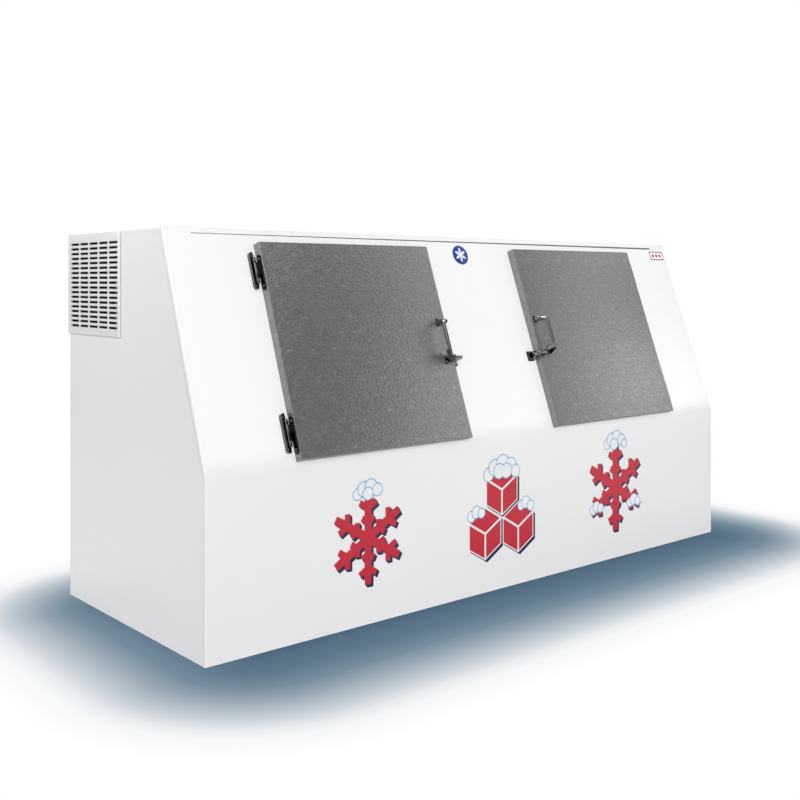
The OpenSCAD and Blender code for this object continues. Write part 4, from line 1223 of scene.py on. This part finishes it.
class FREEZER_OT_artwork(Operator):
    """Prints snowflakes, ice cubes and snow on the front, and adds the badge and the sticker"""

    bl_idname = "freezer.artwork"
    bl_label = "Artwork"
    # Heaps of snow on the cubes and the flakes: each puff's place and radius
    heaps = (
        ((1078, 392, 22), (1108, 412, 27), (1146, 420, 31), (1184, 411, 26),
         (1208, 391, 20), (1128, 398, 24), (1164, 396, 24)),
        ((998, 262, 17), (1020, 274, 19), (1044, 268, 15)),
        ((1236, 268, 15), (1260, 276, 19), (1284, 262, 16)),
        ((520, 398, 16), (543, 412, 21), (571, 416, 22), (597, 404, 18), (560, 396, 18)),
        ((1705, 431, 17), (1729, 446, 23), (1760, 452, 25), (1789, 441, 20), (1806, 426, 14),
         (1746, 428, 20)),
        ((1622, 196, 15), (1642, 206, 18), (1664, 199, 15)),
        ((1842, 196, 15), (1864, 206, 19), (1888, 197, 15)),
    )

    def execute(self, context):
        self.layers = {}
        reach = sizes().flake * 1000
        self.flake((560, 262), reach * 0.86)
        self.cubes([(1062, 196), (1222, 196), (1142, 334)], 88)
        self.flake((1752, 268), reach)
        for puffs in self.heaps:
            self.snow(puffs)
        inks = {"border": "white", "navy": "navy", "red": "red", "snow_line": "ice", "snow": "snow"}
        for layer, colour in inks.items():
            film = joined("film_" + layer, self.layers[layer])
            shown(film, "cabinet_enamel", finish=ink(colour), angle=10)
        self.badge()
        self.sticker()
        return {"FINISHED"}

    def film(self, layer, points, lift, grow=0.0, shift=(0, 0)):
        """A closed outline on the front, filled and given the film's thickness.

        Its points are in millimetres from the front's lower left corner."""
        nothing_selected()
        bpy.ops.mesh.primitive_circle_add(vertices=len(points), radius=0.1, fill_type="NGON")
        piece = settled(layer)
        for vertex, (u, w) in zip(piece.data.vertices, points):
            vertex.co = ((LEFT_END + u + shift[0]) / 1000, 0, (w + shift[1]) / 1000)
        piece.data.update()
        if grow:
            pick(piece, "FACE", lambda f: True)
            bpy.ops.mesh.inset(thickness=grow / 1000, use_outset=True, use_boundary=True)
            nothing_selected()
        if piece.data.polygons[0].normal.y > 0:
            pick(piece, "FACE", lambda f: True)
            bpy.ops.mesh.flip_normals()
            nothing_selected()
        thicken(piece, 0.04)
        moved(piece, Matrix.Translation((0, (FRONT_WALL - lift) / 1000, 0)))
        self.layers.setdefault(layer, []).append(piece)

    def shadowed(self, points):
        """A shape's white border and its navy shadow down to the right."""
        self.film("border", points, 0.10, 4.0)
        self.film("border", points, 0.12, 4.0, (9, -9))
        for step in (3, 6, 9):
            self.film("navy", points, 0.17 + step * 0.005, 0.0, (step, -step))

    def flake(self, centre, reach):
        """Six-armed snowflake with two pairs of twigs on each arm."""
        half, twig = reach * 0.095, reach * 0.07
        side = [(half * math.sqrt(3), half)]
        for root, length in ((reach * 0.34, reach * 0.19), (reach * 0.64, reach * 0.26)):
            c, s = 0.5, math.sqrt(3) / 2
            inner, outer = (root - s * twig, c * twig), (root + s * twig, -c * twig)
            for start in (inner, outer):
                base = (half - start[1]) / s
                ends = [base, length] if start is inner else [length, base]
                side += [(start[0] + c * t, start[1] + s * t) for t in ends]
        side.append((reach, half * 0.9))
        arm = side + [(r, -t) for r, t in reversed(side)][:-1]
        points = []
        for k in range(6):
            c, s = math.cos(math.radians(90 - 60 * k)), math.sin(math.radians(90 - 60 * k))
            points += [(centre[0] + r * c - t * s, centre[1] + r * s + t * c) for r, t in arm]
        self.shadowed(points)
        self.film("red", points, 0.28)

    def cubes(self, centres, radius):
        """Ice cubes seen from a corner, three lozenges each."""
        for u, w in centres:
            turns = [math.radians(90 + 60 * k) for k in range(8)]
            corners = [(u + radius * math.cos(turn), w + radius * math.sin(turn)) for turn in turns]
            self.shadowed(corners[:6])
            self.film("border", corners[:6], 0.24)
            for k in (1, 3, 5):
                face = [(u, w), *corners[k : k + 3]]
                mid = (sum(p[0] for p in face) / 4, sum(p[1] for p in face) / 4)
                self.film("red", scaled(face, mid, 0.9), 0.30)

    def snow(self, puffs):
        """A heap of round puffs: each has an ice-blue edge, and the next lies over it."""
        for i, (u, w, r) in enumerate(puffs):
            turns = [k * math.pi / 16 for k in range(32)]
            rim = [(u + (r + 3) * math.cos(turn), w + (r + 3) * math.sin(turn)) for turn in turns]
            self.film("border", scaled(rim, (u, w), (r + 6) / (r + 3)), 0.27)
            self.film("snow_line", rim, 0.36 + i * 0.02)
            # The last two puffs of a large heap hide the lines of the others
            on_top = len(puffs) > 4 and i >= len(puffs) - 2
            lift = 0.37 + i * 0.02 + (0.12 if on_top else 0)
            self.film("snow", scaled(rim, (u, w), r / (r + 3)), lift)

    def badge(self):
        """Plain round badge between the doors, with a small raised flake."""
        u, rise = LEFT_END + BADGE_AT, BADGE_RISE
        disc = bar("badge", (u, rise, 0), (u, rise, 1.6), 36, 48)
        round_off(disc, 0.8, 3, lambda e: sharp(e, 1.0) and middle(e).z > 1.5)
        moved(disc, ON_SLANT)
        shown(disc, "cabinet_enamel", finish=ink("blue"))
        strokes = []
        for turn in (0, 60, 120):
            for at, reach, half in ((0, 25, 3.2), (14.5, 2.4, 5.5), (-14.5, 2.4, 5.5)):
                stroke = block("stroke", (at - reach, -half, 0), (at + reach, half, 0.5))
                round_off(stroke, 0.4, 2)
                strokes.append(moved(stroke, Matrix.Rotation(math.radians(turn + 30), 4, "Z")))
        sign = joined("badge_flake", strokes)
        moved(sign, ON_SLANT @ Matrix.Translation(Vector((u, rise, 1.4)) / 1000))
        shown(sign, "cabinet_enamel", finish=ink("snow"))

    def sticker(self):
        """Small plain sticker at the right end: a blue edge, a white field and three red dots."""
        u, rise = LEFT_END + STICKER_AT, STICKER_RISE
        for name, wide, high, low, top in (("blue", 46, 19, 0.05, 0.3), ("snow", 42, 15, 0.1, 0.36)):
            field = block("sticker_" + name, (u - wide, rise - high, low), (u + wide, rise + high, top))
            round_off(field, 5, 4, lambda e: runs(e, 2))
            moved(field, ON_SLANT)
            shown(field, "cabinet_enamel", finish=ink(name))
        dots = []
        for dx in (-24, 0, 24):
            dot = bar("dot", (u + dx, rise, 0.1), (u + dx, rise, 0.42), 8, 24)
            round_off(dot, 0.08, 1)
            dots.append(dot)
        shown(moved(joined("sticker_red", dots), ON_SLANT), "cabinet_enamel", finish=ink("red"))


# ---------- what the frame carries ----------


class FREEZER_OT_machinery(Operator):
    """Gives the carried parts of the frame their finishes"""

    bl_idname = "freezer.machinery"
    bl_label = "Machinery and lining"
    # Nodes whose finish differs from their slot's
    otherwise = {
        "rear_louver": "grille_enamel", "bay_wall": "galvanised", "fan_shroud": "compressor_black",
        "cord_bushing": "fan_black", "hinge_pins": "chrome", "left_handle_pin": "chrome",
        "right_handle_pin": "chrome",
    }

    def execute(self, context):
        left = set(frame["nodes"])
        for part in frame["record"]["subparts"]:
            slot = self.otherwise.get(part["node"], part["material_slot"])
            data = frame["nodes"][part["node"]].data
            data.materials.clear()
            data.materials.append(material(*FINISHES[slot]))
            left.discard(part["node"])
        if left:
            raise RuntimeError(f"no finish for {sorted(left)}")
        return {"FINISHED"}


class FREEZER_PT_panel(Panel):
    """Lists the freezer's operators and settings"""

    bl_label = "Ice merchandiser freezer"
    bl_idname = "FREEZER_PT_panel"
    bl_space_type = "VIEW_3D"
    bl_region_type = "UI"
    bl_category = "Freezer"

    def draw(self, context):
        for group in (context.scene.freezer_sizes, context.scene.freezer_colours):
            for name in group.__annotations__:
                self.layout.prop(group, name)
        for step in STEPS:
            self.layout.operator(step.bl_idname)


STEPS = (
    FREEZER_OT_stage, FREEZER_OT_machinery, FREEZER_OT_cabinet, FREEZER_OT_grille, FREEZER_OT_doors,
    FREEZER_OT_hinges, FREEZER_OT_handles, FREEZER_OT_screws, FREEZER_OT_artwork,
)
CLASSES = (FreezerSizes, FreezerColours, *STEPS, FREEZER_PT_panel)


def register():
    for made in CLASSES:
        bpy.utils.register_class(made)
    bpy.types.Scene.freezer_sizes = PointerProperty(type=FreezerSizes)
    bpy.types.Scene.freezer_colours = PointerProperty(type=FreezerColours)


def unregister():
    del bpy.types.Scene.freezer_sizes, bpy.types.Scene.freezer_colours
    for made in reversed(CLASSES):
        bpy.utils.unregister_class(made)


def main():
    register()
    for step in STEPS:
        area, action = step.bl_idname.split(".")
        getattr(getattr(bpy.ops, area), action)()


if __name__ == "__main__":
    main()
